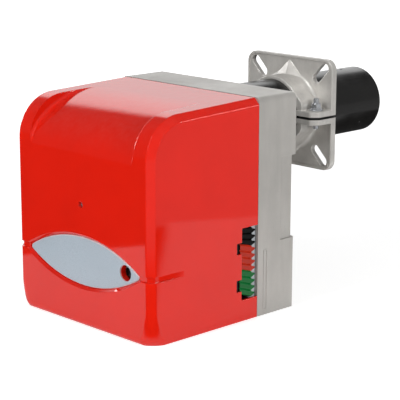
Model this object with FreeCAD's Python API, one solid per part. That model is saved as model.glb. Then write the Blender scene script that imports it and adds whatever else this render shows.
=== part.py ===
import FreeCAD, Part
import math
import os

V = FreeCAD.Vector

# Frame: X to the right as seen from the cover, Y along the blast tube towards the boiler, Z up.
# The origin is the centre of the clamp flange's boiler face, on the axis of the blast tube.

# Envelope of the cover and the housing
WIDTH = 262.0
TOP = 55.0
BOTTOM = -235.0
FRONT = -393.5
SEAM = -206.5
REAR = -134.0
HALF = WIDTH / 2

# Cover moulding
COVER_WALL = 3.0
COVER_REAR = SEAM - 0.5
TOP_RADIUS = 56.0
TOP_SLOPE = 0.0372
FACET = 8.2
FACET_SOFT = 3.5
TOE_RADIUS = 6.5
FOOT_EDGE = 2.5
# Height and plan radius of the front corners, which grow rounder towards the foot
CORNER_ROUNDING = ((-182.0, 6.5), (-190.0, 9.2), (-200.0, 12.2), (-210.0, 14.8), (-218.0, 17.2),
                   (-226.0, 20.6), (-230.5, 25.0), (-233.0, 29.5), (-236.0, 38.0))
SCOOP_HALF = 100.0
SCOOP_START = -15.0
SCOOP_END = -278.0
GROOVE_Z = -149.0
GROOVE_HEIGHT = 7.5
GROOVE_DEPTH = 2.4
GROOVE_FADE = -378.0
GROOVE_END = -334.0
LENS_Z = -150.0
LENS_HALF = 109.6
LENS_RISE = 31.7
LENS_TIP = 4.0
LABEL_FACE = FRONT + 3.2
LABEL_BACK = FRONT + 5.0
LABEL_GAP = 1.0
SEAT_SPREAD = 4.0
SEAT_BACK = FRONT + 8.0
BUTTON_X = 81.2
BUTTON_Z = -148.8
BUTTON_R = 7.5
BUTTON_FRONT = -373.0
WELL_R = 10.0
WELL_END = -381.0
STUD_Z = -76.0
WINDOW_FRONT = -236.0

# Cast housing
CAST_WALL = 4.0
CAST_TOP_RADIUS = 8.0
CAST_RIM = 5.0
WAIST_TOP = -27.0
WAIST_BOTTOM = -138.0
WAIST_REAR = -142.5
FOOT_REAR = -136.5
PLATE_FRONT = SEAM + 1.0
PLATE = 4.0
PLATE_BACK = PLATE_FRONT + PLATE

# Fan, scroll and motor share one axis
FAN_X = -45.0
FAN_Z = -138.0
FAN_R = 60.0
FAN_FRONT = -199.0
FAN_BACK = -166.0
BLADES = 36
SCROLL_R = 63.0
SCROLL_STEP = 10.0
SCROLL_WALL = 2.5
SCROLL_BACK = -161.0
OUTLET_R = 48.0
SHAFT_R = 6.0
MOTOR_R = 44.0
MOTOR_FRONT = -296.0
HUB_FRONT = -322.0
PUMP_FRONT = -356.0

# Blast tube and combustion head
TUBE_R = 47.5
TUBE_WALL = 1.8
TUBE_START = -163.0
TUBE_END = 138.0
DIMPLE_Y = 101.0
DIMPLE_R = 3.5
DIMPLE_DEPTH = 0.9
CONE_START = 96.0
PIPE_R = 6.0
DISC_R = 36.0
DISC_Y = 114.0

# Clamp flange
FLANGE_HALF = 80.8
FLANGE_TOP = 78.0
FLANGE_T = 9.0
FLANGE_GAP = 0.9
FLANGE_RIM = 3.0
PAN_FLOOR = -7.6
COLLAR_R = 52.0
COLLAR_FRONT = -42.0
RUNNING_GAP = 0.06
SLOT_IN = 71.5
SLOT_OUT = 92.5
SLOT_R = 7.0
LUG_T = 8.5
LUG_FRONT = -44.0
BOLT_X = 66.0
BOLT_Y = -24.5
BOLT_R = 4.0
NUT_TOP = 19.6
STUD_TOP = 26.4
STUD_FOOT = -17.0

# Control base in the side window, and its coded sockets
BASE_FACE = 125.5
SOCKET_SEAT = 106.0
SOCKET_FACE = 127.5
SOCKET_REAR = -215.0
TOOTH_TIP = -208.4

# Air damper in the foot of the housing
DAMPER_Y = -149.5
DAMPER_Z = -218.0
DAMPER_HALF = 8.0
DAMPER_SHAFT = 3.0


def rounded_wire(points, place):
    """Closed wire through (u, v) or (u, v, corner radius) points, put in space by place(u, v)."""
    count = len(points)
    corners = []
    for index in range(count):
        before = V(points[index - 1][0], points[index - 1][1], 0)
        here = V(points[index][0], points[index][1], 0)
        after = V(points[(index + 1) % count][0], points[(index + 1) % count][1], 0)
        radius = points[index][2] if len(points[index]) > 2 else 0
        if not radius:
            corners.append((here, None, here))
            continue
        one = (before - here).normalize()
        two = (after - here).normalize()
        half = one.getAngle(two) / 2
        middle = (one + two).normalize()
        reach = radius / math.tan(half)
        crown = here + middle * (radius / math.sin(half) - radius)
        corners.append((here + one * reach, crown, here + two * reach))
    edges = []
    for index in range(count):
        start, crown, end = corners[index]
        if crown is not None:
            arc = Part.Arc(place(start.x, start.y), place(crown.x, crown.y), place(end.x, end.y))
            edges.append(arc.toShape())
        following = corners[(index + 1) % count][0]
        if (following - end).Length > 1e-6:
            edges.append(Part.LineSegment(place(end.x, end.y), place(following.x, following.y)).toShape())
    return Part.Wire(edges)


def prism_x(points, low, high):
    """Outline of (y, z) points pushed along X."""
    face = Part.Face(rounded_wire(points, lambda u, v: V(low, u, v)))
    return face.extrude(V(high - low, 0, 0))


def prism_y(points, low, high):
    """Outline of (x, z) points pushed along Y."""
    face = Part.Face(rounded_wire(points, lambda u, v: V(u, low, v)))
    return face.extrude(V(0, high - low, 0))


def prism_z(points, low, high):
    """Outline of (x, y) points pushed along Z."""
    face = Part.Face(rounded_wire(points, lambda u, v: V(u, v, low)))
    return face.extrude(V(0, 0, high - low))


def box(x0, x1, y0, y1, z0, z1):
    return Part.makeBox(x1 - x0, y1 - y0, z1 - z0, V(x0, y0, z0))


def frame(x0, x1, z0, z1, top=0.0, foot=0.0):
    """Rectangle in the X-Z plane with its own radius at the top and at the foot corners."""
    return [(x0, z0, foot), (x1, z0, foot), (x1, z1, top), (x0, z1, top)]


def rod(radius, y0, y1, x=0.0, z=0.0):
    """Round bar along Y."""
    return Part.makeCylinder(radius, y1 - y0, V(x, y0, z), V(0, 1, 0))


def turned(profile, x=0.0, z=0.0):
    """Closed outline of (radius, y) points turned round an axis along Y."""
    face = Part.Face(rounded_wire(profile, lambda r, y: V(x + r, y, z)))
    return face.revolve(V(x, 0, z), V(0, 1, 0), 360)


def fuse(shapes):
    """One clean solid from touching or overlapping ones."""
    whole = shapes[0].multiFuse(shapes[1:]) if len(shapes) > 1 else shapes[0]
    return whole.removeSplitter()


def group(shapes):
    return Part.makeCompound(shapes)


def hexagon(flats, y0, y1, x=0.0, z=0.0, turn=0.0):
    """Hexagonal bar along Y, measured across its flats."""
    radius = flats / math.sqrt(3)
    points = []
    for index in range(6):
        angle = math.radians(60 * index + turn)
        points.append((x + radius * math.cos(angle), z + radius * math.sin(angle)))
    return prism_y(points, y0, y1)


def bent_tube(route, radius, bend=None):
    """Round tube along straight runs joined by tangent arcs."""
    points = [V(*point) for point in route]
    edges = []
    here = points[0]
    for index in range(1, len(points) - 1):
        corner = points[index]
        one = points[index - 1] - corner
        two = points[index + 1] - corner
        reach = 0.45 * min(one.Length, two.Length)
        one.normalize()
        two.normalize()
        half = one.getAngle(two) / 2
        if bend is not None:
            reach = bend / math.tan(half)
        size = reach * math.tan(half)
        middle = (one + two).normalize()
        crown = corner + middle * (size / math.sin(half) - size)
        start = corner + one * reach
        end = corner + two * reach
        if (start - here).Length > 1e-6:
            edges.append(Part.LineSegment(here, start).toShape())
        edges.append(Part.Arc(start, crown, end).toShape())
        here = end
    edges.append(Part.LineSegment(here, points[-1]).toShape())
    heading = points[1] - points[0]
    section = Part.Wire(Part.makeCircle(radius, points[0], heading))
    return Part.Wire(edges).makePipeShell([section], True, False)


def cap_screw(size, length, x, y, z, head=None):
    """Socket-head screw along Y, its head's bearing face at y and its head towards the cover."""
    head_r = head or size * 0.85
    body = rod(head_r, y - size * 0.9, y, x, z)
    socket = hexagon(size * 0.8, y - size * 0.9, y - size * 0.45, x, z)
    return fuse([body.cut(socket), rod(size / 2, y, y + length, x, z)])


# Cover moulding


def top_line(y, inset=0.0):
    """Height of the cover's gently sloping top at y."""
    return TOP - 0.5 - inset + (y - SEAM) * TOP_SLOPE


def scoop_cutter(inset, half):
    """Space above the sunken middle panel, which flows from the front face up into the top."""
    front = FRONT + inset
    start = V(-half, front, SCOOP_START)
    end = V(-half, SCOOP_END, top_line(SCOOP_END, inset))
    pull = 0.5523
    rise = pull * (top_line(front, inset) - SCOOP_START)
    run = pull * (SCOOP_END - front)
    curve = Part.BezierCurve()
    curve.setPoles([start, start + V(0, 0, rise), end - V(0, run, run * TOP_SLOPE), end])
    above = [V(-half, SCOOP_END, TOP + 20), V(-half, front - 12, TOP + 20), V(-half, front - 12, SCOOP_START)]
    edges = [curve.toShape(), Part.LineSegment(end, above[0]).toShape()]
    edges.append(Part.LineSegment(above[0], above[1]).toShape())
    edges.append(Part.LineSegment(above[1], above[2]).toShape())
    edges.append(Part.LineSegment(above[2], start).toShape())
    cutter = Part.Face(Part.Wire(edges)).extrude(V(2 * half, 0, 0))
    soft = []
    for edge in cutter.Edges:
        bounds = edge.BoundBox
        if bounds.XLength < 1e-3 and bounds.YLength > 50 and bounds.ZLength > 50:
            soft.append(edge)
    return cutter.makeFillet(4.0, soft)


def corner_cutter(side):
    """Space outside one front corner: the facet above runs out into a ball as the radius grows."""
    past = 0.05
    wires = []
    for height, radius in CORNER_ROUNDING:
        x = HALF - radius + past
        y = FRONT + radius - past
        slant = radius * math.sqrt(0.5)
        near = V(side * x, y - radius, height)
        crown = V(side * (x + slant), y - slant, height)
        far = V(side * (x + radius), y, height)
        ends = [far, V(side * (HALF + 9), y, height), V(side * (HALF + 9), FRONT - 9, height),
                V(side * x, FRONT - 9, height), near]
        edges = [Part.LineSegment(ends[index], ends[index + 1]).toShape() for index in range(4)]
        edges.append(Part.Arc(near, crown, far).toShape())
        wires.append(Part.Wire(edges))
    return Part.makeLoft(wires, True, False)


def corner_web(side, inset):
    """Slanted web that closes the cavity behind one rounded front corner of the foot."""
    half = HALF - inset
    front = FRONT + inset
    wires = []
    for height, leg in ((-203.0, FACET - 0.6 * inset - 0.4), (BOTTOM - 1, 29.0)):
        corners = [V(side * (half + 10), front - 10, height), V(side * (half + 10), front + leg + 10, height),
                   V(side * (half - leg - 10), front - 10, height)]
        wires.append(Part.makePolygon(corners + corners[:1]))
    return Part.makeLoft(wires, True, True)


def cover_form(inset, rear):
    """Outer form of the cover, or its cavity when inset by the wall."""
    half = HALF - inset
    front = FRONT + inset
    floor = BOTTOM + inset
    side = [(rear, floor), (front, floor), (front, top_line(front, inset), TOP_RADIUS - inset)]
    side.append((rear, top_line(rear, inset)))
    form = prism_x(side, -half, half)
    chain = []
    for edge in form.Edges:
        centre = edge.CenterOfMass
        if abs(abs(centre.x) - half) < 1e-3 and centre.z > floor + 1 and centre.y < rear - 1:
            chain.append(edge)
    facet = FACET - 0.6 * inset
    form = form.makeChamfer(facet, chain)
    rims = []
    for edge in form.Edges:
        centre = edge.CenterOfMass
        flat = edge.BoundBox.XLength < 1e-3
        if flat and abs(centre.x) > half - facet - 0.01 and centre.z > floor + 1 and centre.y < rear - 1:
            rims.append(edge)
    form = form.makeFillet(FACET_SOFT, rims)
    toe = [(rear, floor), (front, floor, TOE_RADIUS - inset), (front, TOP + 30), (rear, TOP + 30)]
    form = form.common(prism_x(toe, -half - 5, half + 5))
    if inset:
        cuts = [corner_web(side, inset) for side in (-1, 1)]
    else:
        foot = frame(-half, half, floor, TOP + 30, 0.0, FOOT_EDGE)
        form = form.common(prism_y(foot, front - 20, rear))
        cuts = [corner_cutter(side) for side in (-1, 1)]
    cuts.append(scoop_cutter(inset, SCOOP_HALF + inset))
    return form.cut(cuts)


def lens(grow, y0, y1):
    """Oval of the label plate with soft tips, grown all round by grow."""
    rise = LENS_RISE + grow
    reach = LENS_HALF + 1.9 * grow
    left = V(-reach, y0, LENS_Z)
    right = V(reach, y0, LENS_Z)
    upper = Part.Arc(left, V(0, y0, LENS_Z + rise), right).toShape()
    lower = Part.Arc(right, V(0, y0, LENS_Z - rise), left).toShape()
    body = Part.Face(Part.Wire([upper, lower])).extrude(V(0, y1 - y0, 0))
    tips = [edge for edge in body.Edges if edge.BoundBox.XLength < 0.1]
    return body.makeFillet(LENS_TIP, tips)


def lens_wire(grow, y):
    for face in lens(grow, y, y + 1).Faces:
        if face.BoundBox.YMax < y + 0.01:
            return face.OuterWire


def label_seat():
    """Recess of the label plate: a flared wall round a flat pocket."""
    depth = LABEL_FACE - FRONT
    lead = 0.8
    spread = LABEL_GAP + (SEAT_SPREAD - LABEL_GAP) * (depth + lead) / depth
    flare = Part.makeLoft([lens_wire(spread, FRONT - lead), lens_wire(LABEL_GAP, LABEL_FACE)], True, True)
    return flare.fuse(lens(LABEL_GAP, LABEL_FACE - 0.1, LABEL_BACK))


def groove_cutter():
    """Styling groove that runs from the label's tips round both corners and fades out on the sides."""
    low = GROOVE_Z - GROOVE_HEIGHT / 2
    high = GROOVE_Z + GROOVE_HEIGHT / 2
    out = HALF + 4
    outer = [(-out, GROOVE_END), (-out, FRONT - 4), (out, FRONT - 4), (out, GROOVE_END)]
    half = HALF - GROOVE_DEPTH
    front = FRONT + GROOVE_DEPTH
    cut = FACET - 0.6 * GROOVE_DEPTH
    inner = [(-out, GROOVE_END), (-HALF - 0.2, GROOVE_END), (-half, GROOVE_FADE, 12.0), (-half, front + cut),
             (-half + cut, front), (half - cut, front), (half, front + cut), (half, GROOVE_FADE, 12.0),
             (HALF + 0.2, GROOVE_END), (out, GROOVE_END), (out, GROOVE_END + 20), (-out, GROOVE_END + 20)]
    middle = box(-LENS_HALF + 3, LENS_HALF - 3, FRONT - 5, FRONT + 10, low - 1, high + 1)
    return prism_z(outer, low, high).cut([prism_z(inner, low - 1, high + 1), middle])


def make_cover():
    shell = cover_form(0.0, COVER_REAR)
    cavity = cover_form(COVER_WALL, COVER_REAR + 5)
    band = box(-HALF, HALF, FRONT, -328, GROOVE_Z - 8, GROOVE_Z + 8)
    backing = cover_form(COVER_WALL + 2.0, COVER_REAR + 5)
    cavity = cavity.cut(band).fuse(backing)
    shell = shell.cut(cavity)
    boss = lens(7.0, FRONT + 1.5, SEAT_BACK)
    well = rod(WELL_R + 1.5, SEAT_BACK - 1, WELL_END, BUTTON_X, BUTTON_Z)
    screw_boss = rod(8.0, FRONT + 1, -383, 0, STUD_Z)
    shell = shell.multiFuse([boss, well, screw_boss])
    cuts = [groove_cutter(), label_seat()]
    cuts.append(rod(WELL_R, FRONT - 5, WELL_END + 2, BUTTON_X, BUTTON_Z))
    dimple = [(0, FRONT - 1), (4.9, FRONT - 1), (3.7, FRONT + 1.6), (3.7, -386), (0, -386)]
    cuts.append(turned(dimple, 0, STUD_Z))
    cuts.append(rod(2.2, -390, -380, 0, STUD_Z))
    wall = (HALF - 8, HALF + 8)
    rear = COVER_REAR + 4
    window = [(WINDOW_FRONT, -206, 1.5), (rear, -206), (rear, -110), (WINDOW_FRONT, -110, 1.5)]
    cuts.append(prism_x(window, *wall))
    for low, high in ((-144, -129), (-194, -178)):
        notch = [(WINDOW_FRONT - 9, low, 1), (WINDOW_FRONT + 6, low), (WINDOW_FRONT + 6, high),
                 (WINDOW_FRONT - 9, high, 1)]
        cuts.append(prism_x(notch, *wall))
    hoses = [(-244, -222, 6), (rear, -222), (rear, -186), (-244, -186, 6)]
    cuts.append(prism_x(hoses, -HALF - 8, -HALF + 8))
    return shell.cut(cuts).removeSplitter()


def make_label_plate():
    plate = lens(0.0, LABEL_FACE, LABEL_BACK)
    rim = [edge for edge in plate.Edges if edge.BoundBox.YMax < LABEL_FACE + 0.01]
    plate = plate.makeChamfer(0.9, rim)
    return plate.cut(rod(WELL_R + 0.4, LABEL_FACE - 2, LABEL_BACK + 2, BUTTON_X, BUTTON_Z))


def make_cover_screw():
    return cap_screw(4.0, 17.0, 0, -386.1, STUD_Z, 3.5)


# Cast housing


def make_housing():
    body = prism_y(frame(-HALF, HALF, BOTTOM, TOP, CAST_TOP_RADIUS), SEAM, REAR)
    steps = [box(-HALF - 5, HALF + 5, WAIST_REAR, REAR + 5, WAIST_BOTTOM, WAIST_TOP)]
    steps.append(box(-HALF - 5, HALF + 5, FOOT_REAR, REAR + 5, BOTTOM - 5, WAIST_BOTTOM + 1))
    for side in (-1, 1):
        edge = sorted((side * (HALF - 2), side * (HALF + 5)))
        steps.append(box(edge[0], edge[1], -164, WAIST_REAR + 1, WAIST_BOTTOM, WAIST_TOP))
    body = body.cut(steps)
    rims = []
    for edge in body.Edges:
        bounds = edge.BoundBox
        outside = abs(edge.CenterOfMass.x) > HALF - 3 or bounds.ZMax < BOTTOM + 0.1 or bounds.ZMin > TOP - 0.1
        upper = bounds.YMin > REAR - 0.1 and bounds.ZMin > WAIST_TOP - 0.1 and bounds.ZMax > WAIST_TOP + 1
        lower = bounds.YMin > FOOT_REAR - 0.1 and bounds.ZMax < WAIST_BOTTOM + 1.1 and bounds.ZMin < -200
        if bounds.YLength < 1e-3 and outside and (upper or lower):
            rims.append(edge)
    body = body.makeFillet(CAST_RIM, rims)
    body = body.common(prism_y(frame(-HALF, HALF, BOTTOM, TOP + 5, 0.0, FOOT_EDGE), SEAM - 1, REAR + 1))
    wall = CAST_WALL
    inner = frame(-HALF + wall, HALF - wall, BOTTOM + wall, TOP - wall, 4.0, 2.0)
    cavity = prism_y(inner, SEAM - 5, WAIST_REAR - 3.5)
    upper = prism_y(frame(-HALF + wall, HALF - wall, WAIST_TOP + 4, TOP - wall, 4.0, 2.0), -150, REAR - 3.5)
    foot = frame(-HALF + wall, HALF - wall, BOTTOM + wall, WAIST_BOTTOM - 4, 2.0, 2.0)
    lower = prism_y(foot, -150, FOOT_REAR - 3.5)
    body = body.cut([cavity, upper, lower])
    for side in (-1, 1):
        edge = sorted((side * (HALF - wall - 2), side * (HALF - 1.9)))
        body = body.fuse(box(edge[0], edge[1], -166, WAIST_REAR - 1, WAIST_BOTTOM, WAIST_TOP))
    additions = [rod(52.5, -152, REAR)]
    for x, z in plate_screw_places():
        additions.append(rod(7.2, PLATE_BACK, -160, x, z))
    additions.append(Part.makeCylinder(7, 5, V(-HALF - 1.5, DAMPER_Y, DAMPER_Z), V(1, 0, 0)))
    additions.append(Part.makeCylinder(6, 5, V(HALF - wall - 4, DAMPER_Y, DAMPER_Z), V(1, 0, 0)))
    body = body.multiFuse(additions)
    cuts = [rod(TUBE_R + 0.1, -160, REAR + 5)]
    for x, z in plate_screw_places():
        cuts.append(rod(2.0, PLATE_BACK - 1, PLATE_BACK + 14, x, z))
    shaft_end = V(-HALF - 5, DAMPER_Y, DAMPER_Z)
    shaft_room = Part.makeCylinder(DAMPER_SHAFT + 0.08, 2 * HALF + 5, shaft_end, V(1, 0, 0))
    cuts.append(shaft_room.cut(box(HALF - 3, HALF + 9, -160, -140, -230, -200)))
    for index in range(9):
        x = -88 + 22 * index
        slot = [(x - 8, -155.5, 3), (x + 8, -155.5, 3), (x + 8, -143.5, 3), (x - 8, -143.5, 3)]
        cuts.append(prism_z(slot, BOTTOM - 2, BOTTOM + wall + 2))
    body = body.cut(cuts)
    rim_out = [(-195.8, -227, 1), (-189.2, -227, 1), (-189.2, -146, 1), (-195.8, -146, 1)]
    rim_out = prism_x(rim_out, HALF - 1, HALF + 0.5)
    rim_in = [(-195, -226.2, 0.6), (-190, -226.2, 0.6), (-190, -146.8, 0.6), (-195, -146.8, 0.6)]
    rim_in = prism_x(rim_in, HALF, HALF + 1)
    return body.fuse(rim_out.cut(rim_in)).removeSplitter()


def plate_screw_places():
    return [(side * 120.3, z) for side in (-1, 1) for z in (42, -90, -214)]


def make_component_plate():
    gap = CAST_WALL + 0.3
    outline = frame(-HALF + gap, HALF - gap, BOTTOM + gap, TOP - gap, 3.7, 1.7)
    plate = prism_y(outline, PLATE_FRONT, PLATE_BACK)
    cuts = [rod(30.3, PLATE_FRONT - 1, PLATE_BACK + 1, FAN_X, FAN_Z)]
    cuts.append(rod(37.0, PLATE_FRONT - 1, PLATE_BACK + 1))
    for x, z in plate_screw_places():
        cuts.append(rod(2.7, PLATE_FRONT - 1, PLATE_BACK + 1, x, z))
    return plate.cut(cuts)


def head_screw_places():
    return [(40.5 * math.cos(math.radians(a)), 40.5 * math.sin(math.radians(a))) for a in (50, 180, 290)]


def make_panel_screws():
    screws = [cap_screw(5.0, 3.0, x, PLATE_FRONT, z) for x, z in plate_screw_places()]
    screws += [cap_screw(5.0, 3.0, x, PLATE_FRONT - 4.0, z) for x, z in head_screw_places()]
    return group(screws)


def on_line(point, aim, centre, radius, far):
    """Where the line from point towards aim meets a circle, at its nearer or its farther meeting."""
    dx = aim[0] - point[0]
    dz = aim[1] - point[1]
    length = math.hypot(dx, dz)
    dx, dz = dx / length, dz / length
    fx = point[0] - centre[0]
    fz = point[1] - centre[1]
    along = fx * dx + fz * dz
    root = math.sqrt(along * along - (fx * fx + fz * fz - radius * radius))
    step = -along + (root if far else -root)
    return (point[0] + dx * step, point[1] + dz * step)


def scroll_outline(grow, y):
    """Spiral of three growing arcs, opening upwards into the round mouth of the blast tube."""
    one = (FAN_X, FAN_Z, SCROLL_R + grow)
    two = (FAN_X + SCROLL_STEP, FAN_Z, SCROLL_R + SCROLL_STEP + grow)
    three = (two[0], FAN_Z + SCROLL_STEP, SCROLL_R + 2 * SCROLL_STEP + grow)

    def on(arc, degrees):
        angle = math.radians(degrees)
        return (arc[0] + arc[2] * math.cos(angle), arc[1] + arc[2] * math.sin(angle))

    mouth = (0.0, 0.0, OUTLET_R)
    start = on(mouth, 205)
    tongue = on((FAN_X, FAN_Z, SCROLL_R), 68)
    dx, dz = tongue[0] - start[0], tongue[1] - start[1]
    length = math.hypot(dx, dz)
    shift = (dz / length * grow, -dx / length * grow)
    start = (start[0] + shift[0], start[1] + shift[1])
    tongue = (tongue[0] + shift[0], tongue[1] + shift[1])
    lip = on_line(start, tongue, (FAN_X, FAN_Z), one[2], False)
    neck = on_line(tongue, start, (0.0, 0.0), OUTLET_R + grow, False)
    lip_angle = math.degrees(math.atan2(lip[1] - FAN_Z, lip[0] - FAN_X))
    neck_angle = math.degrees(math.atan2(neck[1], neck[0])) % 360
    mouth = (0.0, 0.0, OUTLET_R + grow)

    def arc(circle, first, last):
        ends = [on(circle, angle) for angle in (first, (first + last) / 2, last)]
        return Part.Arc(*[V(x, y, z) for x, z in ends]).toShape()

    edges = [arc(one, lip_angle, 180), arc(two, 180, 270), arc(three, 270, 360)]
    low = on(three, 0)
    edges.append(Part.LineSegment(V(low[0], y, low[1]), V(OUTLET_R + grow, y, 0)).toShape())
    edges.append(arc(mouth, 0, neck_angle))
    edges.append(Part.LineSegment(V(neck[0], y, neck[1]), V(lip[0], y, lip[1])).toShape())
    return Part.Wire(edges)


def make_volute():
    front = PLATE_BACK + 0.1
    outer = Part.Face(scroll_outline(SCROLL_WALL, front)).extrude(V(0, SCROLL_BACK - front, 0))
    inner = Part.Face(scroll_outline(0.0, front - 1)).extrude(V(0, SCROLL_BACK - SCROLL_WALL - front + 1, 0))
    body = outer.cut(inner)
    cuts = [rod(42.2, -175, -150, FAN_X, FAN_Z), rod(TUBE_R + 0.1, -175, -150)]
    return body.cut(cuts)


def make_inlet_nozzle():
    profile = [(54, SCROLL_BACK), (54, SCROLL_BACK + 1.3), (41.0, SCROLL_BACK + 1.3, 4.0), (39.2, -171),
               (40.4, -171), (42.1, SCROLL_BACK)]
    return turned(profile, FAN_X, FAN_Z)


def make_blast_tube():
    """Welded steel tube with three pressed dimples that hold the cone."""
    inner = TUBE_R - TUBE_WALL
    tube = turned([(inner, TUBE_START), (TUBE_R, TUBE_START), (TUBE_R, TUBE_END), (inner, TUBE_END)])
    dimples = []
    for index in range(3):
        angle = math.radians(120 * index - 33)
        reach = TUBE_R + DIMPLE_R - DIMPLE_DEPTH
        centre = V(reach * math.cos(angle), DIMPLE_Y, reach * math.sin(angle))
        dimples.append(Part.makeSphere(DIMPLE_R, centre))
    return tube.cut(dimples)


def make_head_cone():
    inner = TUBE_R - TUBE_WALL
    profile = [(inner, CONE_START), (inner, 137, 3.0), (38.5, 137.8), (38.5, 136.2),
               (inner - 1.6, 135.2, 3.0), (inner - 1.6, CONE_START)]
    return turned(profile)


# Motor, fan and pump


def make_motor_shell():
    shell = turned([(MOTOR_R - 1.6, MOTOR_FRONT), (MOTOR_R, MOTOR_FRONT), (MOTOR_R, -211.5),
                    (MOTOR_R - 1.6, -211.5)], FAN_X, FAN_Z)
    fins = []
    for index in range(24):
        if index in (3, 4, 22, 23, 0, 1, 8, 9, 10):
            continue
        fin = box(FAN_X + MOTOR_R - 0.5, FAN_X + MOTOR_R + 2.4, -290, -218, FAN_Z - 0.8, FAN_Z + 0.8)
        fin.rotate(V(FAN_X, 0, FAN_Z), V(0, 1, 0), -15.0 * index)
        fins.append(fin)
    terminal = prism_y([(-6, -146, 2), (10, -146, 3), (10, -118, 3), (-6, -118, 2)], -290, -256)
    core = rod(MOTOR_R - 0.5, -300, -200, FAN_X, FAN_Z)
    return fuse([shell] + fins + [terminal.cut(core)])


def motor_screw_places():
    return [(FAN_X + 50.5 * math.cos(math.radians(a)), FAN_Z + 50.5 * math.sin(math.radians(a)))
            for a in (45, 135, 225, 315)]


def make_motor_shields():
    rear = turned([(13.0, -211.5), (47.0, -211.5, 1.5), (47.0, PLATE_FRONT), (30.0, PLATE_FRONT),
                   (30.0, PLATE_FRONT + 3), (7.0, PLATE_FRONT + 3), (7.0, -204.5), (13.0, -204.5)],
                  FAN_X, FAN_Z)
    ears = [rod(7.0, -211.5, PLATE_FRONT, x, z) for x, z in motor_screw_places()]
    holes = [rod(2.7, -214, -204, x, z) for x, z in motor_screw_places()]
    core = rod(40.0, -220, -200, FAN_X, FAN_Z)
    rear = fuse([rear] + [ear.cut(core) for ear in ears]).cut(holes)
    front = turned([(17.0, HUB_FRONT), (27.0, HUB_FRONT, 1.0), (27.0, -302, 3.0), (46.0, -301, 2.0),
                    (46.0, MOTOR_FRONT), (13.0, MOTOR_FRONT), (13.0, -303), (7.0, -303), (7.0, -305),
                    (17.0, -305)], FAN_X, FAN_Z)
    return group([rear, front])


def ring(inner, outer, y0, y1, soft=0.0):
    profile = [(inner, y0, soft), (outer, y0, soft), (outer, y1, soft), (inner, y1, soft)]
    return turned(profile, FAN_X, FAN_Z)


def make_stator():
    return ring(24.5, MOTOR_R - 1.7, -284, -226)


def make_windings():
    return group([ring(27.0, 40.0, -292, -284, 3.0), ring(27.0, 40.0, -226, -216, 3.0)])


def make_motor_bearings():
    bore = SHAFT_R + 0.05
    return group([ring(bore, 13.0, -211.5, -204.5, 0.6), ring(bore, 13.0, -303, MOTOR_FRONT, 0.6)])


def make_motor_shaft():
    return rod(SHAFT_R, -316, -179, FAN_X, FAN_Z)


def make_rotor_core():
    profile = [(SHAFT_R, -286), (12, -286), (23.9, -284, 1.0), (23.9, -226, 1.0), (12, -224), (SHAFT_R, -224)]
    return turned(profile, FAN_X, FAN_Z)


def fan_blade():
    """One forward-curved blade, bent from strip between the back disc and the inlet ring."""
    inner_r, outer_r = 48.5, FAN_R - 0.6
    inside = V(FAN_X + inner_r, FAN_FRONT + 1, FAN_Z)
    lead = math.radians(9.0)
    outside = V(FAN_X + outer_r * math.cos(lead), FAN_FRONT + 1, FAN_Z + outer_r * math.sin(lead))
    middle = (inside + outside) * 0.5
    across = V(-(outside.z - inside.z), 0, outside.x - inside.x).normalize()
    crown = middle - across * 2.6
    thick = 1.0
    front_arc = Part.Arc(inside, crown, outside).toShape()
    back_arc = Part.Arc(outside + across * thick, crown + across * thick, inside + across * thick).toShape()
    tip = Part.LineSegment(outside, outside + across * thick).toShape()
    root = Part.LineSegment(inside + across * thick, inside).toShape()
    face = Part.Face(Part.Wire([front_arc, tip, back_arc, root]))
    return face.extrude(V(0, FAN_BACK - FAN_FRONT - 2, 0))


def make_fan_wheel():
    disc = turned([(SHAFT_R, FAN_FRONT), (FAN_R, FAN_FRONT, 0.6), (FAN_R, FAN_FRONT + 1.5),
                   (14, FAN_FRONT + 1.5, 3.0), (11, -182, 1.0), (SHAFT_R, -182)], FAN_X, FAN_Z)
    rim = ring(48.0, FAN_R, FAN_BACK - 1.5, FAN_BACK, 0.4)
    blades = []
    for index in range(BLADES):
        blade = fan_blade()
        blade.rotate(V(FAN_X, 0, FAN_Z), V(0, 1, 0), -360.0 / BLADES * index)
        blades.append(blade)
    return fuse([disc, rim] + blades)


def make_pump_coupling():
    """Moulded dog coupling between the motor shaft and the pump shaft."""
    body = turned([(0, -320), (10.0, -320, 1.0), (10.0, -314), (12.0, -313.5), (12.0, -308, 1.0), (0, -308)],
                  FAN_X, FAN_Z)
    body = body.cut([rod(SHAFT_R, -316, -300, FAN_X, FAN_Z), rod(4.0, -325, -316, FAN_X, FAN_Z)])
    lobes = []
    for index in range(4):
        lobe = rod(2.2, -321, -313.6, FAN_X + 10.6, FAN_Z)
        lobe.rotate(V(FAN_X, 0, FAN_Z), V(0, 1, 0), 45 + 90 * index)
        lobes.append(lobe)
    return body.cut(lobes)


def make_pump_gear():
    """Pump shaft with its toothed pump wheel."""
    points = []
    teeth = 11
    for index in range(teeth):
        base = 360.0 / teeth * index
        for turn, radius in ((0.0, 11.0), (8.0, 14.0), (16.5, 14.0), (24.5, 11.0)):
            angle = math.radians(base + turn)
            points.append((FAN_X + radius * math.cos(angle), FAN_Z + radius * math.sin(angle)))
    wheel = prism_y(points, -352, -341)
    return fuse([wheel, rod(4.0, -353, -316.1, FAN_X, FAN_Z)])


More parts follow.
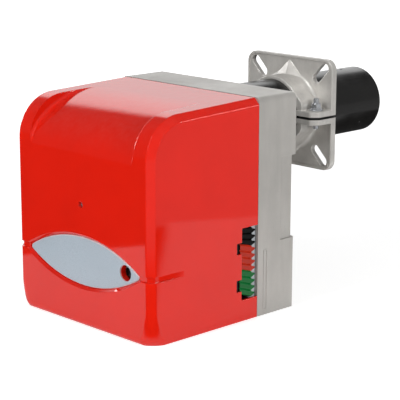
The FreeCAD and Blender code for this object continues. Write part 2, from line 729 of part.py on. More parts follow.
def make_pump_body():
    block = prism_y(frame(-75, -15, -168, -108, 8.0, 8.0), PUMP_FRONT, -326)
    spigot = rod(27.0, -326, HUB_FRONT, FAN_X, FAN_Z)
    port = Part.makeCylinder(9.0, 6, V(-15, -340, -124), V(1, 0, 0))
    seat = Part.makeCylinder(9.0, 4, V(-33, -344, -108), V(0, 0, 1))
    body = block.multiFuse([spigot, port, seat])
    ribs = [box(-77, -75, -352, -330, z, z + 2) for z in (-142, -138)]
    body = body.multiFuse(ribs)
    cuts = [rod(15.0, PUMP_FRONT - 1, -338, FAN_X, FAN_Z), rod(4.06, -345, -320, FAN_X, FAN_Z)]
    for x in (-62, -28):
        cuts.append(Part.makeCylinder(6.6, 13, V(x, -341, -170), V(0, 0, 1)))
    cuts.append(Part.makeCylinder(3.4, 12, V(-33, -344, -112), V(0, 0, 1)))
    return body.cut(cuts).removeSplitter()


def pump_screw_places():
    return [(-68, -161), (-22, -161), (-68, -115), (-22, -115)]


def make_pump_cover():
    plate = prism_y(frame(-73.5, -16.5, -166.5, -109.5, 9.0, 9.0), PUMP_FRONT - 7, PUMP_FRONT)
    dome = turned([(0, PUMP_FRONT - 11), (17, PUMP_FRONT - 11, 2.0), (19, PUMP_FRONT - 6.5),
                   (0, PUMP_FRONT - 6.5)], FAN_X, FAN_Z)
    boss = rod(8.0, PUMP_FRONT - 10, PUMP_FRONT - 5, -62, -138 + 6)
    cover = fuse([plate, dome, boss])
    cuts = [rod(2.7, PUMP_FRONT - 12, PUMP_FRONT + 1, x, z) for x, z in pump_screw_places()]
    cuts.append(rod(4.1, PUMP_FRONT - 12, PUMP_FRONT - 3, -62, -132))
    return cover.cut(cuts)


def make_pressure_screw():
    """Slotted brass screw that sets the oil pressure."""
    screw = fuse([rod(4.0, PUMP_FRONT - 12, PUMP_FRONT - 3.5, -62, -132),
                  hexagon(11, PUMP_FRONT - 15, PUMP_FRONT - 11.5, -62, -132)])
    return screw.cut(box(-67, -57, PUMP_FRONT - 16, PUMP_FRONT - 14, -132.6, -131.4))


def make_port_plugs():
    plugs = []
    for z in (-128.5, -151.0):
        neck = Part.makeCylinder(7.0, 2, V(-77, -341, z), V(1, 0, 0))
        head = hexagon(12, 0, 4)
        head.rotate(V(0, 0, 0), V(0, 0, 1), 90)
        head.translate(V(-77, -341, z))
        plugs.append(fuse([neck, head]))
    return group(plugs)


def make_cap_screws():
    screws = [cap_screw(5.0, 5.0, x, -211.5, z) for x, z in motor_screw_places()]
    screws += [cap_screw(5.0, 6.9, x, PUMP_FRONT - 7, z) for x, z in pump_screw_places()]
    return group(screws)


def make_capacitor():
    """Starting capacitor in its strap, on a saddle beside the motor."""
    x, z = -88.5, -94.5
    can = turned([(0, -292), (15, -292, 1.5), (15, -232, 1.5), (0, -232)], x, z)
    cap = rod(9, -296, -291.5, x, z)
    strap = turned([(14.5, -268), (16.2, -268), (16.2, -256), (14.5, -256)], x, z)
    saddle = box(-8, 8, -268, -256, -20.0, -14.0)
    saddle.rotate(V(0, 0, 0), V(0, 1, 0), 45)
    saddle.translate(V(x, 0, z))
    saddle = saddle.cut(rod(MOTOR_R, -300, -200, FAN_X, FAN_Z))
    return fuse([can, cap, strap, saddle])


def make_valve_stem():
    stem = Part.makeCylinder(5.5, 34, V(-33, -344, -104), V(0, 0, 1))
    nut = prism_z([(-33 + 7.5 * math.cos(math.radians(60 * i)), -344 + 7.5 * math.sin(math.radians(60 * i)))
                   for i in range(6)], -70, -65)
    return fuse([stem, nut]).cut(Part.makeCylinder(3.2, 34, V(-33, -344, -105), V(0, 0, 1)))


def make_valve_plunger():
    return Part.makeCylinder(3.1, 24, V(-33, -344, -99.9), V(0, 0, 1))


def make_valve_coil():
    block = prism_z([(-48, -359, 4), (-18, -359, 4), (-18, -329, 4), (-48, -329, 4)], -103, -70.1)
    block = block.fuse(prism_z([(-42, -330), (-24, -330), (-24, -322, 2), (-42, -322, 2)], -98, -80))
    return block.cut(Part.makeCylinder(5.6, 40, V(-33, -344, -106), V(0, 0, 1))).removeSplitter()


def make_oil_pipe():
    route = [(-2, -340, -124), (26, -340, -124), (31, -335, -40), (38, -298, 0), (36, -254, 0), (15, -254, 0)]
    return bent_tube(route, 2.0, 9.0)


def pipe_nut(x0, x1, y, z):
    """Compression nut on a pipe that leaves along X."""
    nut = hexagon(12, 0, x1 - x0)
    nut.rotate(V(0, 0, 0), V(0, 0, 1), -90)
    nut.translate(V(x0, y, z))
    return nut.cut(Part.makeCylinder(2.05, 40, V(x0 - 10, y, z), V(1, 0, 0)))


# Ignition and control


def make_transformer():
    case = prism_y(frame(-121, -61, -60, 36, 5.0, 5.0), -257, PLATE_FRONT)
    lid = prism_y(frame(-118, -64, -57, 33, 4.0, 4.0), -259.5, -256.9)
    low = prism_y(frame(-101, -81, -68, -56, 3.0, 3.0), -210, PLATE_FRONT)
    high = prism_y(frame(-101, -81, 32, 43, 3.0, 3.0), -210, PLATE_FRONT)
    return fuse([case, lid, low, high])


TERMINALS = ((-246.0, 24.0), (-232.0, 2.0))


def make_ht_terminals():
    towers = []
    for y, z in TERMINALS:
        tower = Part.makeCone(7.5, 5.0, 12, V(-61, y, z), V(1, 0, 0))
        towers.append(tower)
    return group(towers)


def make_ignition_leads():
    """Two silicone high-tension leads from the transformer through the head plate to the electrodes."""
    right = [(9, 28.6, 16), (9, 4, 16), (9.4, -40, 19), (10.3, -120, 23), (10.3, -196, 24.1),
             (10.3, -228, 24.1), (-4, -246, 25), (-30, -246, 24), (-48.9, -246, 24)]
    left = [(-9, 28.6, 16), (-9, 4, 16), (-9.4, -40, 19), (-10.3, -120, 23), (-10.3, -196, 24.1),
            (-10.3, -220, 24.1), (-22, -232, 12), (-34, -232, 2), (-48.9, -232, 2)]
    return group([bent_tube(route, 2.6) for route in (right, left)])


# Each socket: its lower and upper height at the front, the same at the rear, and its ribs
SOCKETS = {
    "socket_black": (-131.4, -110.4, -136.8, -112.2, 3),
    "socket_red": (-165.0, -131.7, -170.9, -137.1, 4),
    "socket_green": (-198.2, -165.3, -205.2, -171.2, 4),
}


def make_control_base():
    """Terminal base that carries the plug-in control unit and the three coded sockets."""
    body = prism_y(frame(70, BASE_FACE, -209, -108, 3.0, 3.0), -239, PLATE_FRONT)
    pocket = box(SOCKET_SEAT, BASE_FACE + 4, WINDOW_FRONT - 0.2, SOCKET_REAR + 0.1, -206.4, -110.2)
    hollow = box(74, 100, -212, -204, -200, -114)
    return body.cut([pocket, hollow])


def make_socket(front_low, front_high, rear_low, rear_high, ribs):
    """Coded socket: slanted V ribs on its face, and a comb of teeth that overhangs its rear edge."""
    lap = 5.0
    share = lap / (SOCKET_REAR - WINDOW_FRONT)
    lap_low = rear_low + (front_low - rear_low) * share
    lap_high = rear_high + (front_high - rear_high) * share
    block = prism_x([(WINDOW_FRONT, front_low), (SOCKET_REAR, rear_low), (SOCKET_REAR, rear_high),
                     (WINDOW_FRONT, front_high)], SOCKET_SEAT, SOCKET_FACE)
    comb = [(SOCKET_REAR - lap, lap_low)]
    pitch = (rear_high - rear_low) / ribs
    for index in range(ribs):
        base = rear_low + index * pitch
        comb += [(SOCKET_REAR, base), (TOOTH_TIP, base + 0.34 * pitch), (TOOTH_TIP, base + 0.56 * pitch),
                 (SOCKET_REAR + 1.2, base + 0.74 * pitch)]
    comb += [(SOCKET_REAR, rear_high), (SOCKET_REAR - lap, lap_high)]
    body = block.fuse(prism_x(comb, BASE_FACE, SOCKET_FACE))
    cuts = []
    for index in range(ribs + 1):
        front = front_low + (front_high - front_low) * index / ribs
        rear = rear_low + pitch * index
        wires = []
        for y, z in ((WINDOW_FRONT - 1, front), (SOCKET_REAR - 1.5, rear)):
            out = SOCKET_FACE + 0.5
            corners = [V(SOCKET_FACE - 1.5, y, z), V(out, y, z - 1.9), V(out, y, z + 1.9)]
            wires.append(Part.makePolygon(corners + corners[:1]))
        cuts.append(Part.makeLoft(wires, True, True))
    return body.cut(cuts).removeSplitter()


def make_control_unit():
    body = prism_y(frame(64, 122, -204, -113, 6.0, 6.0), -318, -239.1)
    brow = prism_y(frame(68, 118, -200, -117, 5.0, 5.0), -322, -317)
    collar = rod(10.0, BUTTON_FRONT - 4, -321, BUTTON_X, BUTTON_Z)
    skirt = turned([(9.5, -340), (10.0, -340), (13.5, -321), (9.5, -321)], BUTTON_X, BUTTON_Z)
    body = fuse([body, brow, collar, skirt])
    cuts = [rod(BUTTON_R + 0.25, BUTTON_FRONT - 6, -309, BUTTON_X, BUTTON_Z)]
    cuts.append(rod(2.6, -323, -316, 110, -192))
    return body.cut(cuts)


def make_reset_button():
    profile = [(0, BUTTON_FRONT - 0.6), (BUTTON_R, BUTTON_FRONT, 2.0), (BUTTON_R, -313), (0, -313)]
    return turned(profile, BUTTON_X, BUTTON_Z)


def make_cover_stud():
    """Long hexagonal stand-off that the cover's screw draws down on."""
    stud = fuse([hexagon(9, -382.6, -210, 0, STUD_Z), rod(6.5, -210, PLATE_FRONT, 0, STUD_Z)])
    return stud.cut(rod(2.2, -384, -366, 0, STUD_Z))


def make_wiring():
    """Leads to the motor, the oil valve, the flame sensor and the transformer, held at both ends."""
    motor = [(10.1, -273, -132), (28, -273, -133), (48, -252, -145), (56, -231, -152), (69.9, -231, -152)]
    valve = [(-33, -321.9, -89), (-33, -308, -89), (-8, -290, -92), (34, -264, -104), (54, -235, -122),
             (69.9, -235, -122)]
    sensor = [(25, -238.1, -15), (25, -256, -16), (48, -268, -46), (84, -256, -74), (101, -229, -90),
              (101, -229, -107.9)]
    mains = [(-60.9, -222, -46), (-44, -222, -47), (-18, -227, -62), (24, -229, -64), (64, -228, -78),
             (84, -224, -92), (84, -224, -107.9)]
    return group([bent_tube(route, 2.4) for route in (motor, valve, sensor, mains)])


def make_photocell():
    profile = [(0, -238), (6.2, -238, 1.5), (6.2, -213), (8.5, -213), (8.5, -209.5), (6.5, -209.5),
               (6.5, -196, 1), (0, -196)]
    return turned(profile, 25, -15)


# Combustion head


def make_head_plate():
    plate = turned([(0, -209.5), (44.5, -209.5, 1.0), (44.5, PLATE_FRONT), (36.6, PLATE_FRONT),
                    (36.6, -203), (0, -203)])
    boss = rod(9.5, -215, -209, 0, 0)
    screw_boss = rod(6.5, -215, -209, -24, -12)
    cuts = [rod(PIPE_R + 0.08, -216, -200), rod(3.08, -216, -200, -24, -12), rod(6.6, -216, -200, 25, -15)]
    for x in (-10.3, 10.3):
        cuts.append(rod(3.3, -216, -200, x, 24.1))
    for x, z in head_screw_places():
        cuts.append(rod(2.7, -216, -200, x, z))
    return fuse([plate, boss, screw_boss]).cut(cuts)


def make_nozzle_pipe():
    """Oil pipe of the head with its inlet elbow and the yoke that the setting screw pulls on."""
    pipe = turned([(2.5, -250), (PIPE_R, -250), (PIPE_R, 50), (2.5, 50)])
    elbow = prism_y([(-8, -8, 2), (10, -8), (10, 8), (-8, 8, 2)], -262, -246)
    yoke = prism_y([(-31, -18, 6), (-14, -18, 4), (8, -7, 3), (8, 7, 3), (-12, 6, 4), (-31, -5, 6)],
                   -246.1, -242.5)
    body = fuse([pipe, elbow, yoke])
    return body.cut([rod(3.3, -250, -240, -24, -12), Part.makeCylinder(2.06, 20, V(2, -254, 0), V(1, 0, 0))])


def make_adjusting_screw():
    knob = turned([(0, -272), (6.5, -272, 1), (6.5, -264, 1), (0, -264)], -24, -12)
    notches = []
    for index in range(12):
        notch = rod(0.9, -273, -263, -24 + 6.8, -12)
        notch.rotate(V(-24, 0, -12), V(0, 1, 0), 30 * index)
        notches.append(notch)
    return fuse([knob.cut(notches), rod(3.0, -264.5, -204, -24, -12)])


def make_nozzle_holder():
    return turned([(0, 46), (9, 46, 1), (11, 50), (11, 88, 1.0), (0, 88)]).cut(rod(PIPE_R, 40, 50))


def make_nozzle():
    tip = turned([(0, 94.9), (7, 94.9), (6.6, 102), (3.6, 106, 0.6), (0, 106)])
    return fuse([hexagon(15.5, 88, 95), tip])


def make_diffuser_disc():
    """Air diffuser: a dished disc with twisted radial slots, on three arms from the nozzle holder."""
    dish = turned([(11, DISC_Y - 1.5), (14, DISC_Y - 1.5, 2), (20, DISC_Y, 2), (DISC_R - 1.4, DISC_Y, 1),
                   (DISC_R - 1.4, 107), (DISC_R, 107), (DISC_R, DISC_Y + 1.4, 2), (19.6, DISC_Y + 1.4, 2),
                   (13.6, DISC_Y - 0.1, 2), (11, DISC_Y - 0.1)])
    cuts = []
    for index in range(12):
        slot = box(22, 33, DISC_Y - 3, DISC_Y + 4, -0.9, 0.9)
        slot.rotate(V(27, DISC_Y, 0), V(1, 0, 0), 35)
        slot.rotate(V(0, 0, 0), V(0, 1, 0), 30 * index)
        cuts.append(slot)
    dish = dish.cut(cuts)
    arms = [turned([(11, 82), (13.2, 82), (13.2, 86.5), (11, 86.5)])]
    for index in range(3):
        foot = box(12.6, 17.6, 82, 86.5, -3.5, 3.5)
        strip = box(16.4, 17.6, 82, DISC_Y + 0.2, -3.5, 3.5)
        arm = foot.fuse(strip)
        arm.rotate(V(0, 0, 0), V(0, 1, 0), 30 + 120 * index)
        arms.append(arm)
    return fuse([dish] + arms)


def make_centring_star():
    hub = turned([(11, 54), (14, 54), (14, 59), (11, 59)])
    arms = [hub]
    for index in range(3):
        arm = prism_y([(13, -1.5), (43, -1.5), (45.2, -4, 0.8), (45.2, 4, 0.8), (43, 1.5), (13, 1.5)], 54, 59)
        arm.rotate(V(0, 0, 0), V(0, 1, 0), -90 + 120 * index)
        arms.append(arm)
    return fuse(arms)


def make_electrode_insulators():
    ceramics = []
    for x in (-9, 9):
        profile = [(0, 29), (3.6, 29, 0.8), (3.6, 60), (4.4, 62), (4.4, 64), (3.6, 66), (3.6, 78, 1), (0, 78)]
        ceramics.append(turned(profile, x, 16))
    return group(ceramics)


def make_electrode_wires():
    wires = []
    for side in (-1, 1):
        route = [(9 * side, 78, 16), (9 * side, 97, 16), (1.8 * side, 110.5, 8)]
        wires.append(bent_tube(route, 1.1, 5.0))
    return group(wires)


def make_electrode_clamp():
    clamp = prism_y([(-16, 11.5, 2), (16, 11.5, 2), (16, 21, 3), (-16, 21, 3)], 67, 76)
    cuts = [rod(3.6, 60, 80, x, 16) for x in (-9, 9)]
    cuts.append(rod(11, 60, 80))
    clamp = clamp.cut(cuts)
    return clamp.fuse(rod(2.4, 70, 73, 0, 11.9).cut(rod(11, 60, 80))).removeSplitter()


# Clamp flange


def make_flange_half(bolt_hole):
    """Upper half of the split clamp flange: plate with a raised rim, collar, lugs, gusset and slots."""
    plate = prism_y(frame(-FLANGE_HALF, FLANGE_HALF, FLANGE_GAP, FLANGE_TOP, 15.0, 0.0), -FLANGE_T, 0)
    rim = []
    for edge in plate.Edges:
        if edge.BoundBox.YMax < -FLANGE_T + 0.1 and edge.BoundBox.ZMax > FLANGE_GAP + 1:
            rim.append(edge)
    plate = plate.makeFillet(1.3, rim)
    inside = FLANGE_HALF - FLANGE_RIM
    pan = frame(-inside, inside, FLANGE_GAP - 5, FLANGE_TOP - FLANGE_RIM, 12.5, 0.0)
    plate = plate.cut(prism_y(pan, -FLANGE_T - 1, PAN_FLOOR))
    bore = TUBE_R + RUNNING_GAP
    collar = turned([(bore, COLLAR_FRONT), (COLLAR_R, COLLAR_FRONT, 1.4), (COLLAR_R, PAN_FLOOR, 7.0),
                     (65, PAN_FLOOR), (65, -1), (bore, -1)])
    collar = collar.common(box(-90, 90, -60, 20, FLANGE_GAP, 90))
    bodies = [plate, collar, gusset()]
    for side in (-1, 1):
        bodies.append(lug(side))
        cheek = [(side * 40, FLANGE_GAP), (side * 55, FLANGE_GAP), (side * 55, 19, 14.0), (side * 33, 39.5)]
        bodies.append(prism_y(cheek, COLLAR_FRONT, -5))
    body = bodies[0].multiFuse(bodies[1:])
    cuts = [rod(bore, -60, 20)]
    for side in (-1, 1):
        cuts.append(Part.makeCylinder(bolt_hole, 30, V(side * BOLT_X, BOLT_Y, -5), V(0, 0, 1)))
        inner, outer, radius = SLOT_IN - SLOT_R, SLOT_OUT + SLOT_R, SLOT_R - 0.01
        slot = prism_y([(inner, -SLOT_R, radius), (outer, -SLOT_R, radius), (outer, SLOT_R, radius),
                        (inner, SLOT_R, radius)], -20, 5)
        slot.rotate(V(0, 0, 0), V(0, 1, 0), -45 if side > 0 else -135)
        cuts.append(slot)
    return body.cut(cuts).removeSplitter()


def lug(side):
    """Ear that the clamp stud goes through, with its outer corner cut back."""
    top = FLANGE_GAP + LUG_T
    plan = [(side * 44, LUG_FRONT), (side * 72, LUG_FRONT, 6.0), (side * FLANGE_HALF, LUG_FRONT + 10, 7.0),
            (side * FLANGE_HALF, -4), (side * 44, -4)]
    body = prism_z(plan, FLANGE_GAP, top)
    edges = []
    for edge in body.Edges:
        centre = edge.CenterOfMass
        if edge.BoundBox.ZMin > top - 0.01 and centre.x * side > 50 and centre.y < -10:
            edges.append(edge)
    return body.makeFillet(1.2, edges)


def gusset():
    """Low ridge that braces the plate above the collar."""
    wires = []
    foot = (46.0, 27.0, -9.5, -18.0)
    tip = (71.0, 1.2, PAN_FLOOR - 0.3, PAN_FLOOR - 0.8)
    for height, half, root, ridge in (foot, tip):
        corners = [V(-half, -5, height), V(-half, root, height), V(0, ridge, height), V(half, root, height),
                   V(half, -5, height)]
        wires.append(Part.makePolygon(corners + corners[:1]))
    return Part.makeLoft(wires, True, True)


def make_flange_upper():
    return make_flange_half(BOLT_R + 0.5)


def make_flange_lower():
    half = make_flange_half(BOLT_R)
    half.rotate(V(0, 0, 0), V(0, 1, 0), 180)
    return half


def make_clamp_bolts():
    """Two studs, screwed into the lower lugs, each with its flanged nut on the upper one."""
    parts = []
    face = FLANGE_GAP + LUG_T
    for side in (-1, 1):
        x = side * BOLT_X
        seat = V(x, BOLT_Y, face)
        stud = Part.makeCylinder(BOLT_R, STUD_TOP - STUD_FOOT, V(x, BOLT_Y, STUD_FOOT), V(0, 0, 1))
        stud = stud.makeChamfer(0.8, [edge for edge in stud.Edges if edge.BoundBox.ZLength < 0.1])
        parts.append(stud)
        corners = []
        for index in range(6):
            angle = math.radians(60 * index + 15)
            corners.append((x + 7.5 * math.cos(angle), BOLT_Y + 7.5 * math.sin(angle)))
        hexed = prism_z(corners, face + 1, NUT_TOP)
        dome = Part.makeCone(11.0, 6.2, NUT_TOP - face, seat, V(0, 0, 1))
        skirt = Part.makeCone(9.5, 7.0, 3.0, seat + V(0, 0, 1.2), V(0, 0, 1))
        washer = Part.makeCylinder(9.5, 1.2, seat, V(0, 0, 1))
        nut = hexed.common(dome).multiFuse([skirt, washer])
        parts.append(nut.cut(Part.makeCylinder(BOLT_R, 20, seat - V(0, 0, 2), V(0, 0, 1))).removeSplitter())
    return group(parts)


# Air damper


def make_air_damper():
    shaft = Part.makeCylinder(DAMPER_SHAFT, 2 * HALF + 5, V(-HALF - 9, DAMPER_Y, DAMPER_Z), V(1, 0, 0))
    flap = box(-118, 118, DAMPER_Y - DAMPER_HALF, DAMPER_Y + DAMPER_HALF, DAMPER_Z - 0.8, DAMPER_Z + 0.8)
    return fuse([shaft, flap])


def make_damper_lever():
    """Setting lever on the damper's shaft, with a pointer that sweeps a quarter turn."""
    hub = Part.makeCylinder(8.0, 5, V(-HALF - 7.5, DAMPER_Y, DAMPER_Z), V(1, 0, 0))
    arm = prism_x([(DAMPER_Y - 4, DAMPER_Z), (DAMPER_Y + 4, DAMPER_Z), (DAMPER_Y + 2.2, DAMPER_Z + 26, 2),
                   (DAMPER_Y - 2.2, DAMPER_Z + 26, 2)], -HALF - 7.5, -HALF - 4.5)
    arm.rotate(V(0, DAMPER_Y, DAMPER_Z), V(1, 0, 0), 60)
    bore = Part.makeCylinder(DAMPER_SHAFT, 20, V(-HALF - 12, DAMPER_Y, DAMPER_Z), V(1, 0, 0))
    return fuse([hub, arm]).cut(bore)


def build():
    """Every sub-part by name."""
    parts = {
        "housing": make_housing(),
        "component_plate": make_component_plate(),
        "panel_screws": make_panel_screws(),
        "volute": make_volute(),
        "inlet_nozzle": make_inlet_nozzle(),
        "blast_tube": make_blast_tube(),
        "head_cone": make_head_cone(),
        "motor_shell": make_motor_shell(),
        "motor_shields": make_motor_shields(),
        "stator": make_stator(),
        "windings": make_windings(),
        "motor_bearings": make_motor_bearings(),
        "capacitor": make_capacitor(),
        "cap_screws": make_cap_screws(),
        "pump_body": make_pump_body(),
        "pump_cover": make_pump_cover(),
        "port_plugs": make_port_plugs(),
        "valve_stem": make_valve_stem(),
        "valve_coil": make_valve_coil(),
        "oil_pipe": make_oil_pipe(),
        "pump_nut": pipe_nut(-9, 3, -340, -124),
        "elbow_nut": pipe_nut(10, 20, -254, 0),
        "transformer": make_transformer(),
        "ht_terminals": make_ht_terminals(),
        "ignition_leads": make_ignition_leads(),
        "control_base": make_control_base(),
        "control_unit": make_control_unit(),
        "photocell": make_photocell(),
        "head_plate": make_head_plate(),
        "cover_stud": make_cover_stud(),
        "wiring": make_wiring(),
        "motor_shaft": make_motor_shaft(),
        "rotor_core": make_rotor_core(),
        "fan_wheel": make_fan_wheel(),
        "pump_coupling": make_pump_coupling(),
        "pump_gear": make_pump_gear(),
        "pressure_screw": make_pressure_screw(),
        "valve_plunger": make_valve_plunger(),
        "nozzle_pipe": make_nozzle_pipe(),
        "adjusting_screw": make_adjusting_screw(),
        "nozzle_holder": make_nozzle_holder(),
        "nozzle": make_nozzle(),
        "diffuser_disc": make_diffuser_disc(),
        "centring_star": make_centring_star(),
        "electrode_insulators": make_electrode_insulators(),
        "electrode_wires": make_electrode_wires(),
        "electrode_clamp": make_electrode_clamp(),
        "cover": make_cover(),
        "label_plate": make_label_plate(),
        "cover_screw": make_cover_screw(),
        "air_damper": make_air_damper(),
        "damper_lever": make_damper_lever(),
        "reset_button": make_reset_button(),
        "flange_upper": make_flange_upper(),
        "flange_lower": make_flange_lower(),
        "clamp_bolts": make_clamp_bolts(),
    }
    for name, sizes in SOCKETS.items():
        parts[name] = make_socket(*sizes)
    return parts


def main():
    os.makedirs("parts", exist_ok=True)
    for name, shape in build().items():
        if not shape.isValid() or not shape.Solids:
            print("check", name, shape.isValid(), len(shape.Solids))
        shape.exportStep("parts/" + name + ".step")


main()
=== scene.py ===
"""Looks of a small light-oil boiler burner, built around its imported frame.

Every length is in metres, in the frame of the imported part: X to the right as seen from the cover,
Y along the blast tube towards the boiler, Z up.
"""

import logging
import math
from dataclasses import dataclass
from enum import Enum
from functools import reduce
from typing import Any, ClassVar

import bpy
from mathutils import Matrix, Vector


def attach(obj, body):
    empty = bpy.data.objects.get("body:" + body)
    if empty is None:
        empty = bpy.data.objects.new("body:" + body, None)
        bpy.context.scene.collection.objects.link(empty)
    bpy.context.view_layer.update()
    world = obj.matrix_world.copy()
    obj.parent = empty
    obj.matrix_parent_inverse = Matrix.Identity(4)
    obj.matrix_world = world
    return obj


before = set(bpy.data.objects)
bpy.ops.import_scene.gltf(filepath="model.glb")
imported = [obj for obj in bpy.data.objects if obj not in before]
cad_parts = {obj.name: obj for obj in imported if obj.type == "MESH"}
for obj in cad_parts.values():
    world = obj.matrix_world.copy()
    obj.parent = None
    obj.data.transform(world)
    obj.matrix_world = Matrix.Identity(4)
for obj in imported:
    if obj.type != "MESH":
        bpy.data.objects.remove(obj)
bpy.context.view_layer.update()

LOG = logging.getLogger("burner")
MM = 0.001
IMAGE_PIXELS = 400
SENSOR_WIDTH = 36.0

Colour = tuple[float, float, float]
Point = tuple[float, float, float]
Socket = bpy.types.NodeSocket
Sockets = bpy.types.bpy_prop_collection

ORIGIN = (0.0, 0.0, 0.0)
TO_RIGHT = (1.0, 0.0, 0.0)
TO_BOILER = (0.0, 1.0, 0.0)
TO_VIEWER = (0.0, -1.0, 0.0)
UPWARD = (0.0, 0.0, 1.0)
WHITE = (1.0, 1.0, 1.0)
QUARTER_TURN = math.pi / 2


def mm(*values: float) -> tuple[float, ...]:
    """Lengths in metres of lengths in millimetres."""
    return tuple(value * MM for value in values)


def linear(red: int, green: int, blue: int) -> Colour:
    """Linear colour of a display colour, whose channels run from 0 to 255."""
    parts = (value / 255.0 for value in (red, green, blue))
    return tuple(part / 12.92 if part <= 0.04045 else ((part + 0.055) / 1.055) ** 2.4 for part in parts)


def shade(colour: Colour, factor: float) -> Colour:
    """A lighter or darker version of a linear colour, with every channel kept at 1 or less."""
    return tuple(min(channel * factor, 1.0) for channel in colour)


DUST_COLOUR = linear(190, 186, 180)
NOISE_SPAN = (0.3, 0.7)
NARROW_SPAN = (0.35, 0.65)


class Way(Enum):
    """Direction in which worked metal shows its marks."""

    ALONG_X = (1.0, 0.03, 0.03)
    ALONG_Y = (0.03, 1.0, 0.03)
    NONE = (1.0, 1.0, 1.0)


class Kind(Enum):
    """Type of a socket on a node group's interface."""

    NUMBER = "NodeSocketFloat"
    COUNT = "NodeSocketInt"
    VECTOR = "NodeSocketVector"
    SHAPE = "NodeSocketGeometry"
    FINISH = "NodeSocketMaterial"


KIND_OF_VALUE = {float: Kind.NUMBER, int: Kind.COUNT, tuple: Kind.VECTOR}


class Board:
    """Adds nodes to one node tree and joins their sockets."""

    def __init__(self, tree: bpy.types.NodeTree, target: str = "", source: str = "") -> None:
        """Keep the tree, and add the nodes that its values come from and go to.

        Args:
            tree: Tree that nodes are added to.
            target: Kind of the node that takes the results, if there is one.
            source: Kind of the node that gives the inputs, if there is one.
        """
        self.tree = tree
        self.target = self.node(target) if target else None
        self.source = self.node(source) if source else None

    def put(self, socket: Socket, value: Any) -> None:
        """Link a socket to another one, or set its value.

        Args:
            socket: Input socket that is filled.
            value: An output socket, a number, or a tuple.
        """
        if isinstance(value, bpy.types.NodeSocket):
            self.tree.links.new(value, socket)
        elif isinstance(value, tuple) and len(value) == 3 and socket.type == "RGBA":
            socket.default_value = (*value, 1.0)
        else:
            socket.default_value = value

    def give(self, values: dict[str, Any]) -> None:
        """Fill the named inputs of the target node."""
        for key, value in values.items():
            self.put(self.target.inputs[key], value)

    def given(self, name: str) -> Socket:
        """Named output of the source node."""
        return self.source.outputs[name]

    def node(self, kind: str, inputs: dict[Any, Any] | None = None, **settings: Any) -> bpy.types.Node:
        """Add one node.

        Args:
            kind: Blender's name for the node type.
            inputs: Values or output sockets by input name or index.
            **settings: Attributes of the node.

        Returns:
            The new node.
        """
        made = self.tree.nodes.new(kind)
        for key, value in settings.items():
            setattr(made, key, value)
        for key, value in (inputs or {}).items():
            self.put(made.inputs[key], value)
        return made

    def math(self, operation: str, first: Any, second: Any = 0.0, clamp: bool = False) -> Socket:
        """Result of one arithmetic step on two values."""
        made = self.node("ShaderNodeMath", {0: first, 1: second}, operation=operation, use_clamp=clamp)
        return made.outputs[0]

    def product(self, *values: Any) -> Socket:
        """Product of several values."""
        return reduce(lambda first, second: self.math("MULTIPLY", first, second), values)

    def shift(self, value: Any, mask: Any, amount: float) -> Socket:
        """A value raised by a share of a mask, or lowered where the amount is negative."""
        return self.math("ADD", value, self.product(mask, amount), clamp=True)

    def remap(self, value: Any, low: float, high: float, to_low: Any = 0.0, to_high: Any = 1.0) -> Socket:
        """A value moved from one range to another and kept inside it."""
        ends = {0: value, 1: low, 2: high, 3: to_low, 4: to_high}
        return self.node("ShaderNodeMapRange", ends).outputs[0]

    def ease(self, value: Any, low: float, high: float) -> Socket:
        """Soft step from 0 at low to 1 at high, or falling where low is the higher of the two."""
        ends = {0: value, 1: min(low, high), 2: max(low, high), 3: float(low > high), 4: float(low < high)}
        return self.node("ShaderNodeMapRange", ends, interpolation_type="SMOOTHSTEP").outputs[0]

    def mix(self, factor: Any, first: Any, second: Any) -> Socket:
        """Blend of two colours."""
        return self.node("ShaderNodeMix", {0: factor, 6: first, 7: second}, data_type="RGBA").outputs[2]

    def over(self, base: Any, colour: Colour, mask: Any, amount: float) -> Socket:
        """A colour laid over a base where a mask says."""
        return self.mix(self.product(mask, amount), base, colour)

    def along(self, vector: Any, direction: Any) -> Socket:
        """Length of a vector along a direction."""
        made = self.node("ShaderNodeVectorMath", {0: vector, 1: direction}, operation="DOT_PRODUCT")
        return made.outputs["Value"]

    def place(self) -> Socket:
        """Object coordinates, which are the row frame's for every piece."""
        return self.node("ShaderNodeTexCoord").outputs["Object"]

    def normal(self) -> Socket:
        """The surface's own normal."""
        return self.node("ShaderNodeNewGeometry").outputs["Normal"]

    def stretch(self, vector: Any, scale: Point = WHITE, shift: Point = ORIGIN) -> Socket:
        """Coordinates scaled and moved by a Mapping node."""
        values = {"Vector": vector, "Scale": scale, "Location": shift}
        return self.node("ShaderNodeMapping", values).outputs[0]

    def noise(self, vector: Any, scale: Any, detail: float = 2.0, rough: float = 0.5) -> Socket:
        """Smooth noise between 0 and 1."""
        values = {"Vector": vector, "Scale": scale, "Detail": detail, "Roughness": rough}
        return self.node("ShaderNodeTexNoise", values).outputs[0]

    def bump(self, height: Any, distance: float, normal: Any = None) -> Socket:
        """Normal bent by a height.

        Args:
            height: Height between 0 and 1.
            distance: Real height of 1, in metres.
            normal: Normal that is bent, or None for the surface's own.

        Returns:
            The bent normal.
        """
        made = self.node("ShaderNodeBump", {"Height": height, "Distance": distance, "Strength": 1.0})
        if normal is not None:
            self.put(made.inputs["Normal"], normal)
        return made.outputs[0]

    def choose(self, factor: Any, first: Socket, second: Socket) -> Socket:
        """Blend of two shaders."""
        return self.node("ShaderNodeMixShader", {0: factor, 1: first, 2: second}).outputs[0]


def open_board(owner: Any, target: str) -> Board:
    """Empty a material's or a world's tree and start it again.

    Args:
        owner: Material or world.
        target: Kind of the node that takes the results.

    Returns:
        Board of the emptied tree.
    """
    owner.use_nodes = True
    owner.node_tree.nodes.clear()
    return Board(owner.node_tree, target)


